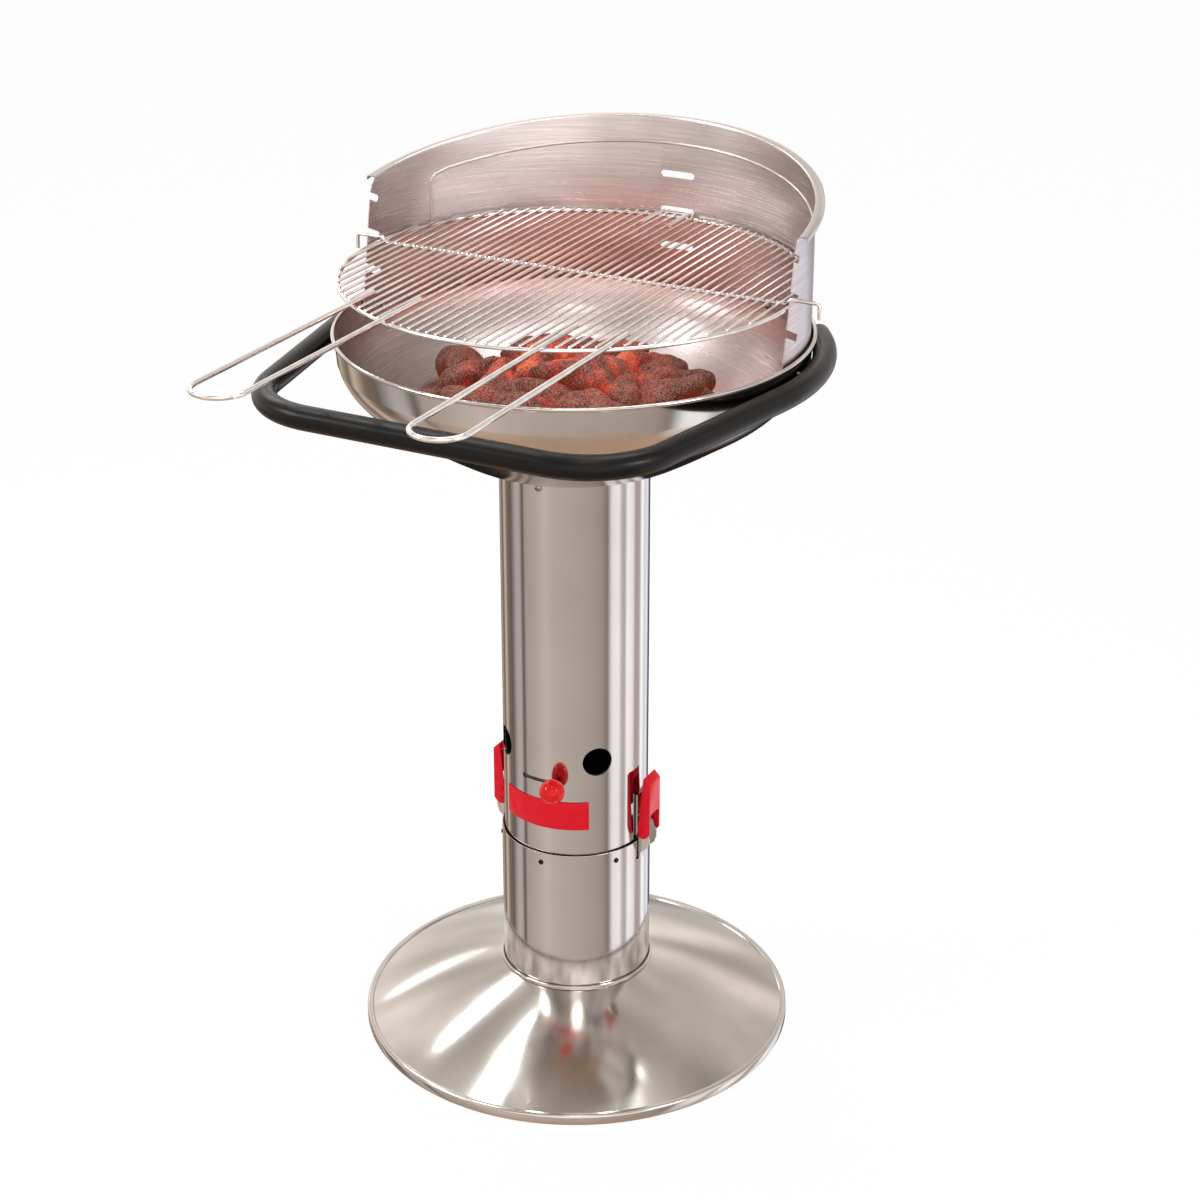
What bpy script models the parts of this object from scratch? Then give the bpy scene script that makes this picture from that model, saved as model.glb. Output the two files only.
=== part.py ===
# Charcoal barbecue: a round bowl with a windshield and a wire grid, on a tall round column and a wide foot.
# Metres, +Z up. The front, with the grid handles, faces -Y. The origin is the middle of the foot, on the floor.
import math
import random

import bmesh
import bpy
from mathutils import Matrix, Vector

# Fits between pieces, and the sheet that most of the object is made of
GAP = 0.0003
HOLE_FIT = 0.0004
TURNING_FIT = 0.0005
SHEET = 0.001

# Fasteners: head radius, head height and shank radius
RIVET = (0.0030, 0.0012, 0.0015)
COLUMN_SCREW = (0.0043, 0.0024, 0.0020)
FOOT_SCREW = (0.0035, 0.0018, 0.0018)
RIM_BOLT = (0.0038, 0.0020, 0.0019)
CLAW_PIN = (0.0024, 0.0009, 0.0015)
LEVER_PIN = (0.0026, 0.0010, 0.0015)

# Foot
FOOT_RADIUS = 0.2413
FOOT_SHEET = 0.0012
FOOT_RIM_HEIGHT = 0.0120
FOOT_RIM_WIDTH = 0.0068
FOOT_RIM_ROUND = 0.0030
FOOT_RIM_CREASE = 0.0012
FOOT_HEM = 0.0045
FOOT_NECK_TOP = 0.0705
FOOT_NECK_LENGTH = 0.022
FOOT_NECK_FIT = 0.0006
FOOT_SCREW_RISE = 0.008
FOOT_SCREW_COUNT = 3
COLLAR_HEIGHT = 0.0040
COLLAR_WIDTH = 0.0027
COLLAR_ROUND = 0.0008

# Column and ash container
COLUMN_RADIUS = 0.080
COLUMN_TOP = 0.676
CONTAINER_STEP = 0.0027
CONTAINER_HEIGHT = 0.2407
CONTAINER_FLOOR = 0.0015
LEDGE_DEPTH = 0.0157
LEDGE_HEIGHT = 0.012
LEDGE_WIDTH = 0.0065
LEDGE_FIT = 0.0004
LEDGE_RIVET_DROP = 0.0121
LEDGE_RIVET_COUNT = 6
COLUMN_SCREW_DROP = 0.006
COLUMN_SCREW_COUNT = 3
COLUMN_SCREW_REACH = 0.0075

# Air vents
VENT_RISE = 0.1133
VENT_RADIUS = 0.0165
VENT_ANGLES = (45, 135)
VENT_TRAVEL_DEG = 26
VENT_RING_MARGIN = 0.008
SLOT_DROP = 0.025
SLOT_HEIGHT = 0.0042
SLOT_END_RADIUS = 0.0034
SLOT_SPARE_DEG = 2.6
ROD_RADIUS = 0.0016
ROD_HEAD = (0.0032, 0.0016, ROD_RADIUS)
KNOB_RADIUS = 0.013
KNOB_REACH = 0.020
KNOB_BORE_SHARE = 0.55

# Plate on the front of the column
PLATE_RISE = 0.0318
PLATE_HEIGHT = 0.0335
PLATE_HALF_DEG = 38
PLATE_SHEET = 0.0008
PLATE_FIT = 0.0004

# Latches: the lever's pivot from the column and the container, and the rest from that pivot
LATCH_PIVOT_RISE = 0.0113
LATCH_PIVOT_OUT = 0.0095
LATCH_PLATE_SHEET = 0.002
LATCH_PLATE_BELOW = 0.005
LATCH_PLATE_ABOVE = 0.046
LATCH_RIVET_RISES = (0.0062, 0.040)
LATCH_EAR_RADIUS = 0.004
LATCH_SIDE_FIT = 0.0004
LEVER_WIDTH = 0.026
LEVER_SHEET = 0.0015
LEVER_LENGTH = 0.0715
LEVER_FACE_OUT = 0.0083
LEVER_FOOT_RADIUS = 0.0065
LEVER_BACK_IN = 0.0060
LEVER_BACK_RISE = 0.008
LEVER_TIP_DEPTH = 0.0042
LEVER_TIP_SLANT = 0.0012
LEVER_TIP_HEIGHT = 0.0060
LEVER_ARCH_HEIGHT = 0.018
LEVER_ARCH_INSET = 0.0009
CLAW_PIVOT_RISE = 0.013
CLAW_PIVOT_IN = 0.0017
CLAW_BARREL = 0.0032
CLAW_WIDTH = 0.018
CLAW_SIDE_FIT = 0.0006
CLAW_SHEET = 0.0016
CLAW_TIP_SHEET = 0.002
CLAW_BITE = 0.0012
CATCH_WIDTH = 0.022
CATCH_HEIGHT = 0.0038
CATCH_DROP = 0.0199

# Bowl, with its outline given from the neck (0, 0) to the crease under the rim band (1, 1)
BOWL_CREASE_RADIUS = 0.2435
BOWL_CREASE_RISE = 0.117
BOWL_BAND_HEIGHT = 0.0265
BOWL_BAND_FLARE = 0.0020
BOWL_CURL = 0.00225
BOWL_NECK_LENGTH = 0.021
BOWL_OUTLINE = (
    (0.0, 0.0),
    (0.25, 0.113),
    (0.433, 0.255),
    (0.615, 0.42),
    (0.797, 0.592),
    (0.913, 0.754),
    (0.973, 0.89),
    (1.0, 1.0),
)

# Fire grate, and the charcoal as rings of lumps: how many, how far out and how high
GRATE_RADIUS = 0.149
GRATE_WIRE = 0.0025
GRATE_BAR_WIRE = 0.0020
GRATE_PITCH = 0.022
COAL_RADIUS = 0.143
COAL_HEIGHT = 0.044
COAL_RINGS = ((11, 0.130, 0.020), (7, 0.084, 0.036), (4, 0.034, 0.046))
LUMP_LENGTH = 0.068
LUMP_WIDTH = 0.044
LUMP_HEIGHT = 0.040
LUMP_SPREAD = 0.012

# Windshield
SHIELD_LIFT = 0.004
SHIELD_RISE = 0.1212
SHIELD_TILT = 0.041
SHIELD_LIP = 0.0085
SHIELD_LIP_ROUND = 0.0015
SHIELD_LIP_DROP = 0.0035
SHIELD_EDGE_TOP_Y = 0.004
SHIELD_EDGE_LOW_Y = -0.024
SHIELD_CORNER = 0.010
LEVEL_LOW = 0.0202
LEVEL_PITCH = 0.040
LEVEL_COUNT = 3
LEVEL_SLOT_HEIGHT = 0.0075
REAR_SLOT_WIDTH = 0.040
NOTCH_SLOPE_DEG = 25
NOTCH_END_ROUND = 0.0012

# Cooking grid, which hangs in the middle level
GRID_RING_WIRE = 0.0022
GRID_RING_FIT = 0.0013
GRID_SHIFT_Y = -0.002
GRID_BAR_WIRE = 0.0015
GRID_PITCH = 0.0109
GRID_WELD = 0.0006
GRID_HANDLE_WIRE = 0.00275
GRID_HANDLE_BARS = (8, 13)
GRID_HANDLE_REACH = 0.2485
GRID_HANDLE_GRIP = 0.0363
SUPPORT_WIRE = 0.002
SUPPORT_Y = 0.0115
HOOK_OUT = 0.0235
HOOK_DROP = 0.016
HOOK_BEND = 0.004
TAB_HALF_PITCHES = 1.5
TAB_LENGTH = 0.055
TAB_PAST_SHIELD = 0.0035

# Rail around the bowl
RAIL_TUBE = 0.0125
RAIL_STANDOFF = 0.0012
RAIL_REACH = 0.055
RAIL_TAPER = 0.038
RAIL_CORNER_RADIUS = 0.09
RAIL_DROP = 0.0238
RAIL_BOLT_RISE = 0.004
RAIL_BOLT_SHORT = 0.0022

# Facets: steps right round the wide turned pieces and the column, and places counted in wide steps from +X
WIDE_STEPS = 40
COLUMN_STEPS = 48
SHIELD_STEPS_EACH_SIDE = 11
RAIL_BOLT_STEPS = (0.5, 3.5)
RAIL_END_STEPS = 4
SHIELD_SCREW_STEPS = 6.5

# Sizes that follow from the ones above
WIDE_STEP_DEG = 360 / WIDE_STEPS
WIDE_FLAT = math.cos(math.pi / WIDE_STEPS)
COLUMN_FLAT = math.cos(math.pi / COLUMN_STEPS)
COLUMN_INNER = COLUMN_RADIUS - SHEET
CONTAINER_RADIUS = COLUMN_RADIUS + CONTAINER_STEP
CONTAINER_INNER = CONTAINER_RADIUS - SHEET
FOOT_INNER = CONTAINER_RADIUS + FOOT_NECK_FIT
FOOT_SCREW_Z = FOOT_NECK_TOP - FOOT_NECK_LENGTH + FOOT_SCREW_RISE
LEDGE_Z = CONTAINER_HEIGHT - LEDGE_DEPTH - SHEET
LEDGE_RIVET_Z = CONTAINER_HEIGHT - LEDGE_RIVET_DROP
COLUMN_BOTTOM = LEDGE_Z + SHEET + GAP
COLUMN_SCREW_Z = COLUMN_TOP - COLUMN_SCREW_DROP
VENT_Z = CONTAINER_HEIGHT + VENT_RISE
SLOT_Z = VENT_Z - SLOT_DROP
KNOB_ANGLE = -90 + VENT_TRAVEL_DEG / 2
LATCH_PIVOT_Z = CONTAINER_HEIGHT + LATCH_PIVOT_RISE
LATCH_PIVOT_X = COLUMN_RADIUS + LATCH_PIVOT_OUT
CATCH_TOP = CONTAINER_HEIGHT - CATCH_DROP
NECK_RADIUS = COLUMN_INNER - TURNING_FIT - SHEET
BOWL_CREASE_Z = COLUMN_TOP + BOWL_CREASE_RISE
RIM_TOP = BOWL_CREASE_Z + BOWL_BAND_HEIGHT + BOWL_CURL
SHIELD_RADIUS = BOWL_CREASE_RADIUS
SHIELD_INNER = SHIELD_RADIUS - SHEET
SHIELD_BOTTOM = BOWL_CREASE_Z + SHIELD_LIFT
SHIELD_TOP = RIM_TOP + SHIELD_RISE
MIDDLE_LEVEL = RIM_TOP + LEVEL_LOW + LEVEL_PITCH
GRID_TOP = MIDDLE_LEVEL - LEVEL_SLOT_HEIGHT / 2
GRID_RING_RADIUS = SHIELD_INNER - GRID_RING_FIT - GRID_RING_WIRE
GRID_BAR_Z = GRID_TOP + GRID_BAR_WIRE - GRID_WELD
HANGER_Z = GRID_TOP + GAP + SUPPORT_WIRE
RAIL_Z = RIM_TOP - RAIL_DROP
RAIL_RING = BOWL_CREASE_RADIUS + SHEET + RAIL_STANDOFF + RAIL_TUBE
RAIL_BOLT_Z = RAIL_Z + RAIL_BOLT_RISE
PAST = 0.01


def clear_scene():
    for old in list(bpy.data.objects):
        bpy.data.objects.remove(old, do_unlink=True)


def new_collection(name):
    made = bpy.data.collections.new(name)
    bpy.context.scene.collection.children.link(made)
    return made


def new_material(name, colour, metallic, roughness):
    made = bpy.data.materials.new(name)
    made.use_nodes = True
    shader = made.node_tree.nodes["Principled BSDF"]
    shader.inputs["Base Color"].default_value = (*colour, 1.0)
    shader.inputs["Metallic"].default_value = metallic
    shader.inputs["Roughness"].default_value = roughness
    made.diffuse_color = (*colour, 1.0)
    return made


clear_scene()
PARTS = new_collection("charcoal_barbecue")
CUTTERS = new_collection("cutters")

FINISHES = {
    "brushed_steel": ((0.62, 0.59, 0.57), 1.0, 0.32),
    "polished_steel": ((0.66, 0.63, 0.60), 1.0, 0.10),
    "chromed_wire": ((0.80, 0.80, 0.80), 1.0, 0.10),
    "black_paint": ((0.012, 0.012, 0.013), 0.0, 0.38),
    "red_paint": ((0.52, 0.01, 0.015), 0.0, 0.25),
    "red_plastic": ((0.60, 0.01, 0.01), 0.0, 0.12),
    "charcoal": ((0.20, 0.06, 0.03), 0.0, 0.9),
    "black_steel": ((0.03, 0.03, 0.03), 0.6, 0.6),
}


def as_part(obj, name, finish):
    """Names a finished piece, gives it its own material and shades it."""
    obj.name = name
    obj.data.name = name
    obj.data.materials.clear()
    obj.data.materials.append(new_material(name, *FINISHES[finish]))
    obj.data.shade_smooth()
    obj.data.set_sharp_from_angle(angle=math.radians(35))
    return obj


def as_cutter(obj):
    """Hides a helper that only cuts or joins another piece."""
    for holder in list(obj.users_collection):
        holder.objects.unlink(obj)
    CUTTERS.objects.link(obj)
    obj.hide_render = True
    obj.display_type = "WIRE"
    return obj


def from_bmesh(shape):
    mesh = bpy.data.meshes.new("mesh")
    shape.to_mesh(mesh)
    shape.free()
    obj = bpy.data.objects.new("piece", mesh)
    PARTS.objects.link(obj)
    return obj


def boolean(obj, other, operation):
    modifier = obj.modifiers.new(operation.lower(), "BOOLEAN")
    modifier.operation = operation
    modifier.solver = "EXACT"
    modifier.object = as_cutter(other)


def cut(obj, *others):
    for other in others:
        boolean(obj, other, "DIFFERENCE")


def fuse(obj, *others):
    for other in others:
        boolean(obj, other, "UNION")


def box(low, high):
    shape = bmesh.new()
    bmesh.ops.create_cube(shape, size=1.0)
    low = Vector(low)
    high = Vector(high)
    matrix = Matrix.Translation((low + high) / 2) @ Matrix.Diagonal((*(high - low), 1.0))
    bmesh.ops.transform(shape, matrix=matrix, verts=shape.verts)
    return from_bmesh(shape)


def rod(start, end, radius, sides=12, spin=0.0):
    """A round bar with flat ends; spin turns its sides about its own axis."""
    start = Vector(start)
    end = Vector(end)
    axis = end - start
    shape = bmesh.new()
    bmesh.ops.create_cone(
        shape, cap_ends=True, segments=sides, radius1=radius, radius2=radius, depth=axis.length
    )
    turn = axis.to_track_quat("Z", "Y").to_matrix().to_4x4() @ Matrix.Rotation(spin, 4, "Z")
    bmesh.ops.transform(shape, matrix=Matrix.Translation((start + end) / 2) @ turn, verts=shape.verts)
    return from_bmesh(shape)


def turned(profile, steps, closed=True):
    """A profile of (radius, height) points turned about the Z axis."""
    mesh = bpy.data.meshes.new("profile")
    points = [(r, 0.0, z) for r, z in profile]
    edges = [(i, i + 1) for i in range(len(points) - 1)]
    if closed:
        edges.append((len(points) - 1, 0))
    mesh.from_pydata(points, edges, [])
    obj = bpy.data.objects.new("turned", mesh)
    PARTS.objects.link(obj)
    screw = obj.modifiers.new("turn", "SCREW")
    screw.axis = "Z"
    screw.angle = math.tau
    screw.steps = steps
    screw.render_steps = steps
    screw.use_merge_vertices = True
    screw.merge_threshold = 0.00001
    return obj


def thicken(obj, thickness):
    solid = obj.modifiers.new("wall", "SOLIDIFY")
    solid.thickness = thickness
    solid.offset = -1.0
    solid.use_even_offset = True
    return obj


def curve_to_mesh(curve, matrix):
    """Makes a curve a closed mesh, placed by a matrix."""
    holder = bpy.data.objects.new("curve", curve)
    PARTS.objects.link(holder)
    graph = bpy.context.evaluated_depsgraph_get()
    mesh = bpy.data.meshes.new_from_object(holder.evaluated_get(graph))
    bpy.data.objects.remove(holder, do_unlink=True)
    shape = bmesh.new()
    shape.from_mesh(mesh)
    bmesh.ops.remove_doubles(shape, verts=shape.verts, dist=0.00001)
    bmesh.ops.recalc_face_normals(shape, faces=shape.faces)
    bmesh.ops.transform(shape, matrix=matrix, verts=shape.verts)
    bpy.data.meshes.remove(mesh)
    return from_bmesh(shape)


def plate(outline, thickness, matrix):
    """A flat outline in its own XY plane, with half its thickness to each side, placed by a matrix."""
    curve = bpy.data.curves.new("outline", "CURVE")
    curve.dimensions = "2D"
    curve.fill_mode = "BOTH"
    curve.extrude = thickness / 2
    spline = curve.splines.new("POLY")
    spline.points.add(len(outline) - 1)
    for point, (x, y) in zip(spline.points, outline):
        point.co = (x, y, 0.0, 1.0)
    spline.use_cyclic_u = True
    return curve_to_mesh(curve, matrix)


def wire(points, radius, resolution=2):
    """A wire or tube along a line of points, with filled ends."""
    curve = bpy.data.curves.new("wire", "CURVE")
    curve.dimensions = "3D"
    curve.bevel_depth = radius
    curve.bevel_resolution = resolution
    curve.use_fill_caps = True
    spline = curve.splines.new("POLY")
    spline.points.add(len(points) - 1)
    for point, place in zip(spline.points, points):
        point.co = (*place, 1.0)
    return curve_to_mesh(curve, Matrix.Identity(4))


def arc(centre, radius, start_deg, end_deg, count):
    """Points of a round stretch in a plane, both ends included."""
    turn = (end_deg - start_deg) / count
    angles = [math.radians(start_deg + turn * i) for i in range(count + 1)]
    return [(centre[0] + radius * math.cos(a), centre[1] + radius * math.sin(a)) for a in angles]


def around(degrees, radius, height):
    """A point at an angle from +X about the Z axis."""
    a = math.radians(degrees)
    return Vector((radius * math.cos(a), radius * math.sin(a), height))


def outward(degrees):
    return around(degrees, 1, 0)


def curved_sheet(angles, rows):
    """A sheet bent round the Z axis; rows(angle) gives its (radius, height) points from the bottom up."""
    points = [rows(degrees) for degrees in angles]
    across = len(angles) - 1
    up = len(points[0]) - 1
    shape = bmesh.new()
    bmesh.ops.create_grid(shape, x_segments=across, y_segments=up, size=0.5)
    for vertex in shape.verts:
        i = round((vertex.co.x + 0.5) * across)
        j = round((vertex.co.y + 0.5) * up)
        vertex.co = around(angles[i], *points[i][j])
    bmesh.ops.recalc_face_normals(shape, faces=shape.faces)
    shape.faces.ensure_lookup_table()
    first = shape.faces[0]
    middle = first.calc_center_median()
    if first.normal.x * middle.x + first.normal.y * middle.y < 0:
        bmesh.ops.reverse_faces(shape, faces=shape.faces)
    return from_bmesh(shape)


def headed_pin(base, direction, kind, length, sides=8):
    """A pin with a domed head that stands along direction; base is where the head meets what it holds."""
    head_radius, head_height, shank_radius = kind
    profile = [
        (0.0, head_height),
        (head_radius * 0.6, head_height * 0.82),
        (head_radius, head_height * 0.25),
        (head_radius, 0.0),
        (shank_radius, 0.0),
        (shank_radius, -length),
        (0.0, -length),
    ]
    pin = turned(profile, sides, closed=False)
    turn = Vector(direction).to_track_quat("Z", "Y").to_matrix().to_4x4()
    pin.matrix_world = Matrix.Translation(Vector(base)) @ turn @ Matrix.Rotation(math.pi / sides, 4, "Z")
    return pin


def radial_hole(degrees, height, radius, inner, outer, sides=8):
    """A hole towards the Z axis, turned by half a side so that no corner of it meets a facet's edge."""
    return rod(around(degrees, inner, height), around(degrees, outer, height), radius, sides, math.pi / sides)


def shank_hole(degrees, height, kind, inner, outer):
    """A hole for a fastener's shank, through whatever lies between two radii."""
    return radial_hole(degrees, height, kind[2] + HOLE_FIT, inner - PAST, outer + PAST)


def spread(count, first):
    return [first + 360 * i / count for i in range(count)]


def bowl_surface():
    """The bowl's inner surface from the neck to the top of the band, as (radius, height)."""
    width = BOWL_CREASE_RADIUS - NECK_RADIUS
    height = BOWL_CREASE_RISE - SHEET
    points = [(NECK_RADIUS + across * width, COLUMN_TOP + SHEET + up * height) for across, up in BOWL_OUTLINE]
    points.append((BOWL_CREASE_RADIUS + BOWL_BAND_FLARE, BOWL_CREASE_Z + BOWL_BAND_HEIGHT))
    return points


def bowl_slope_at(radius):
    """Height and slope of the bowl's inner surface at a radius."""
    points = bowl_surface()
    for low, high in zip(points, points[1:]):
        if radius <= high[0]:
            break
    slope = (high[1] - low[1]) / (high[0] - low[0])
    return low[1] + slope * (radius - low[0]), slope


def foot():
    rim_in = FOOT_RADIUS - FOOT_RIM_WIDTH
    profile = [
        (FOOT_INNER, FOOT_NECK_TOP - FOOT_NECK_LENGTH),
        (FOOT_INNER, FOOT_NECK_TOP - FOOT_SHEET),
        (FOOT_INNER + FOOT_SHEET, FOOT_NECK_TOP),
        (rim_in, FOOT_RIM_HEIGHT - FOOT_RIM_CREASE),
        (rim_in + FOOT_RIM_CREASE, FOOT_RIM_HEIGHT),
    ]
    profile += arc((FOOT_RADIUS - FOOT_RIM_ROUND, FOOT_RIM_HEIGHT - FOOT_RIM_ROUND), FOOT_RIM_ROUND, 90, 0, 3)
    profile += [(FOOT_RADIUS, 0.0), (FOOT_RADIUS - FOOT_HEM, 0.0)]
    base = thicken(turned(profile, WIDE_STEPS, closed=False), FOOT_SHEET)
    head_seat = FOOT_INNER + FOOT_SHEET + GAP
    for i, degrees in enumerate(spread(FOOT_SCREW_COUNT, 90)):
        cut(base, shank_hole(degrees, FOOT_SCREW_Z, FOOT_SCREW, FOOT_INNER, head_seat))
        reach = head_seat - CONTAINER_INNER + SHEET
        screw = headed_pin(around(degrees, head_seat, FOOT_SCREW_Z), outward(degrees), FOOT_SCREW, reach)
        as_part(screw, f"foot_screw_{i + 1}", "polished_steel")
    as_part(base, "foot_plate", "polished_steel")

    low = FOOT_NECK_TOP + GAP
    high = low + COLLAR_HEIGHT
    wide = FOOT_INNER + COLLAR_WIDTH
    profile = [
        (wide - COLLAR_ROUND, high),
        (wide, high - COLLAR_ROUND),
        (wide, low),
        (FOOT_INNER, low),
        (FOOT_INNER, high - COLLAR_ROUND),
        (FOOT_INNER + COLLAR_ROUND, high),
    ]
    as_part(turned(profile, COLUMN_STEPS), "foot_collar", "polished_steel")


def ash_container():
    profile = [
        (0.0, CONTAINER_FLOOR),
        (CONTAINER_INNER, CONTAINER_FLOOR),
        (CONTAINER_INNER, CONTAINER_HEIGHT),
        (CONTAINER_RADIUS, CONTAINER_HEIGHT),
        (CONTAINER_RADIUS, 0.0),
        (0.0, 0.0),
    ]
    shell = turned(profile, COLUMN_STEPS, closed=False)
    reach = CONTAINER_RADIUS + PAST
    half = CATCH_WIDTH / 2
    cut(shell, box((-reach, -half, CATCH_TOP - CATCH_HEIGHT), (reach, half, CATCH_TOP)))
    for degrees in spread(FOOT_SCREW_COUNT, 90):
        cut(shell, shank_hole(degrees, FOOT_SCREW_Z, FOOT_SCREW, CONTAINER_INNER, CONTAINER_RADIUS))

    leg_in = COLUMN_RADIUS + LEDGE_FIT
    leg_out = CONTAINER_INNER - GAP
    profile = [
        (leg_out, LEDGE_Z + LEDGE_HEIGHT),
        (leg_out, LEDGE_Z),
        (leg_out - LEDGE_WIDTH, LEDGE_Z),
        (leg_out - LEDGE_WIDTH, LEDGE_Z + SHEET),
        (leg_in, LEDGE_Z + SHEET),
        (leg_in, LEDGE_Z + LEDGE_HEIGHT),
    ]
    ledge = turned(profile, COLUMN_STEPS)
    head_seat = CONTAINER_RADIUS + GAP
    for i, degrees in enumerate(spread(LEDGE_RIVET_COUNT, -90)):
        cut(shell, shank_hole(degrees, LEDGE_RIVET_Z, RIVET, CONTAINER_INNER, CONTAINER_RADIUS))
        cut(ledge, shank_hole(degrees, LEDGE_RIVET_Z, RIVET, leg_in, leg_out))
        base = around(degrees, head_seat, LEDGE_RIVET_Z)
        rivet = headed_pin(base, outward(degrees), RIVET, head_seat - leg_in)
        as_part(rivet, f"ledge_rivet_{i + 1}", "polished_steel")
    as_part(shell, "ash_container", "polished_steel")
    as_part(ledge, "column_ledge", "polished_steel")


def cut_vents(tube):
    """Cuts the four air vents, which lie opposite each other in pairs."""
    reach = COLUMN_RADIUS + PAST
    for degrees in VENT_ANGLES:
        start = around(degrees, reach, VENT_Z)
        end = around(degrees + 180, reach, VENT_Z)
        cut(tube, rod(start, end, VENT_RADIUS, 24))


def column():
    profile = [
        (COLUMN_RADIUS, COLUMN_TOP),
        (COLUMN_RADIUS, COLUMN_BOTTOM),
        (COLUMN_INNER, COLUMN_BOTTOM),
        (COLUMN_INNER, COLUMN_TOP),
    ]
    tube = turned(profile, COLUMN_STEPS)
    cut_vents(tube)
    side = COLUMN_RADIUS * math.sin(math.radians(VENT_TRAVEL_DEG / 2 + SLOT_SPARE_DEG))
    front = -COLUMN_RADIUS - PAST
    back = -COLUMN_RADIUS / 2
    cut(
        tube,
        box((-side, front, SLOT_Z - SLOT_HEIGHT / 2), (side, back, SLOT_Z + SLOT_HEIGHT / 2)),
        rod((-side, front, SLOT_Z), (-side, back, SLOT_Z), SLOT_END_RADIUS),
    )
    head_seat = COLUMN_RADIUS + GAP
    for i, degrees in enumerate(spread(COLUMN_SCREW_COUNT, -90)):
        cut(tube, shank_hole(degrees, COLUMN_SCREW_Z, COLUMN_SCREW, COLUMN_INNER, COLUMN_RADIUS))
        base = around(degrees, head_seat, COLUMN_SCREW_Z)
        screw = headed_pin(base, outward(degrees), COLUMN_SCREW, COLUMN_SCREW_REACH, 12)
        as_part(screw, f"column_screw_{i + 1}", "polished_steel")
    for degrees in (0, 180):
        for rise in LATCH_RIVET_RISES:
            cut(tube, shank_hole(degrees, LATCH_PIVOT_Z + rise, RIVET, COLUMN_INNER, COLUMN_RADIUS))
    as_part(tube, "column_tube", "polished_steel")


def front_plate():
    steps = 12
    angles = [-90 - PLATE_HALF_DEG + 2 * PLATE_HALF_DEG * i / steps for i in range(steps + 1)]
    radius = COLUMN_RADIUS + PLATE_FIT + PLATE_SHEET
    low = CONTAINER_HEIGHT + PLATE_RISE
    sheet = curved_sheet(angles, lambda degrees: [(radius, low), (radius, low + PLATE_HEIGHT)])
    as_part(thicken(sheet, PLATE_SHEET), "front_plate", "red_paint")


def vents():
    outer = COLUMN_INNER - TURNING_FIT
    inner = outer - SHEET
    low = SLOT_Z - SLOT_HEIGHT / 2 - VENT_RING_MARGIN
    high = VENT_Z + VENT_RADIUS + VENT_RING_MARGIN
    ring = turned([(outer, high), (outer, low), (inner, low), (inner, high)], COLUMN_STEPS)
    cut_vents(ring)
    cut(ring, shank_hole(KNOB_ANGLE, SLOT_Z, ROD_HEAD, inner, outer))
    as_part(ring, "vent_ring", "brushed_steel")

    knob_centre = COLUMN_RADIUS + KNOB_REACH
    bore_end = knob_centre + KNOB_RADIUS * (2 * KNOB_BORE_SHARE - 1)
    head_seat = inner * COLUMN_FLAT - GAP
    base = around(KNOB_ANGLE, head_seat, SLOT_Z)
    pin = headed_pin(base, -outward(KNOB_ANGLE), ROD_HEAD, bore_end - GAP - head_seat)
    as_part(pin, "vent_rod", "polished_steel")

    shape = bmesh.new()
    bmesh.ops.create_uvsphere(shape, u_segments=20, v_segments=12, radius=KNOB_RADIUS)
    knob = from_bmesh(shape)
    knob.matrix_world = Matrix.Translation(around(KNOB_ANGLE, knob_centre, SLOT_Z))
    cut(knob, radial_hole(KNOB_ANGLE, SLOT_Z, ROD_RADIUS + GAP, COLUMN_RADIUS, bore_end))
    as_part(knob, "vent_knob", "red_plastic")


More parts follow.
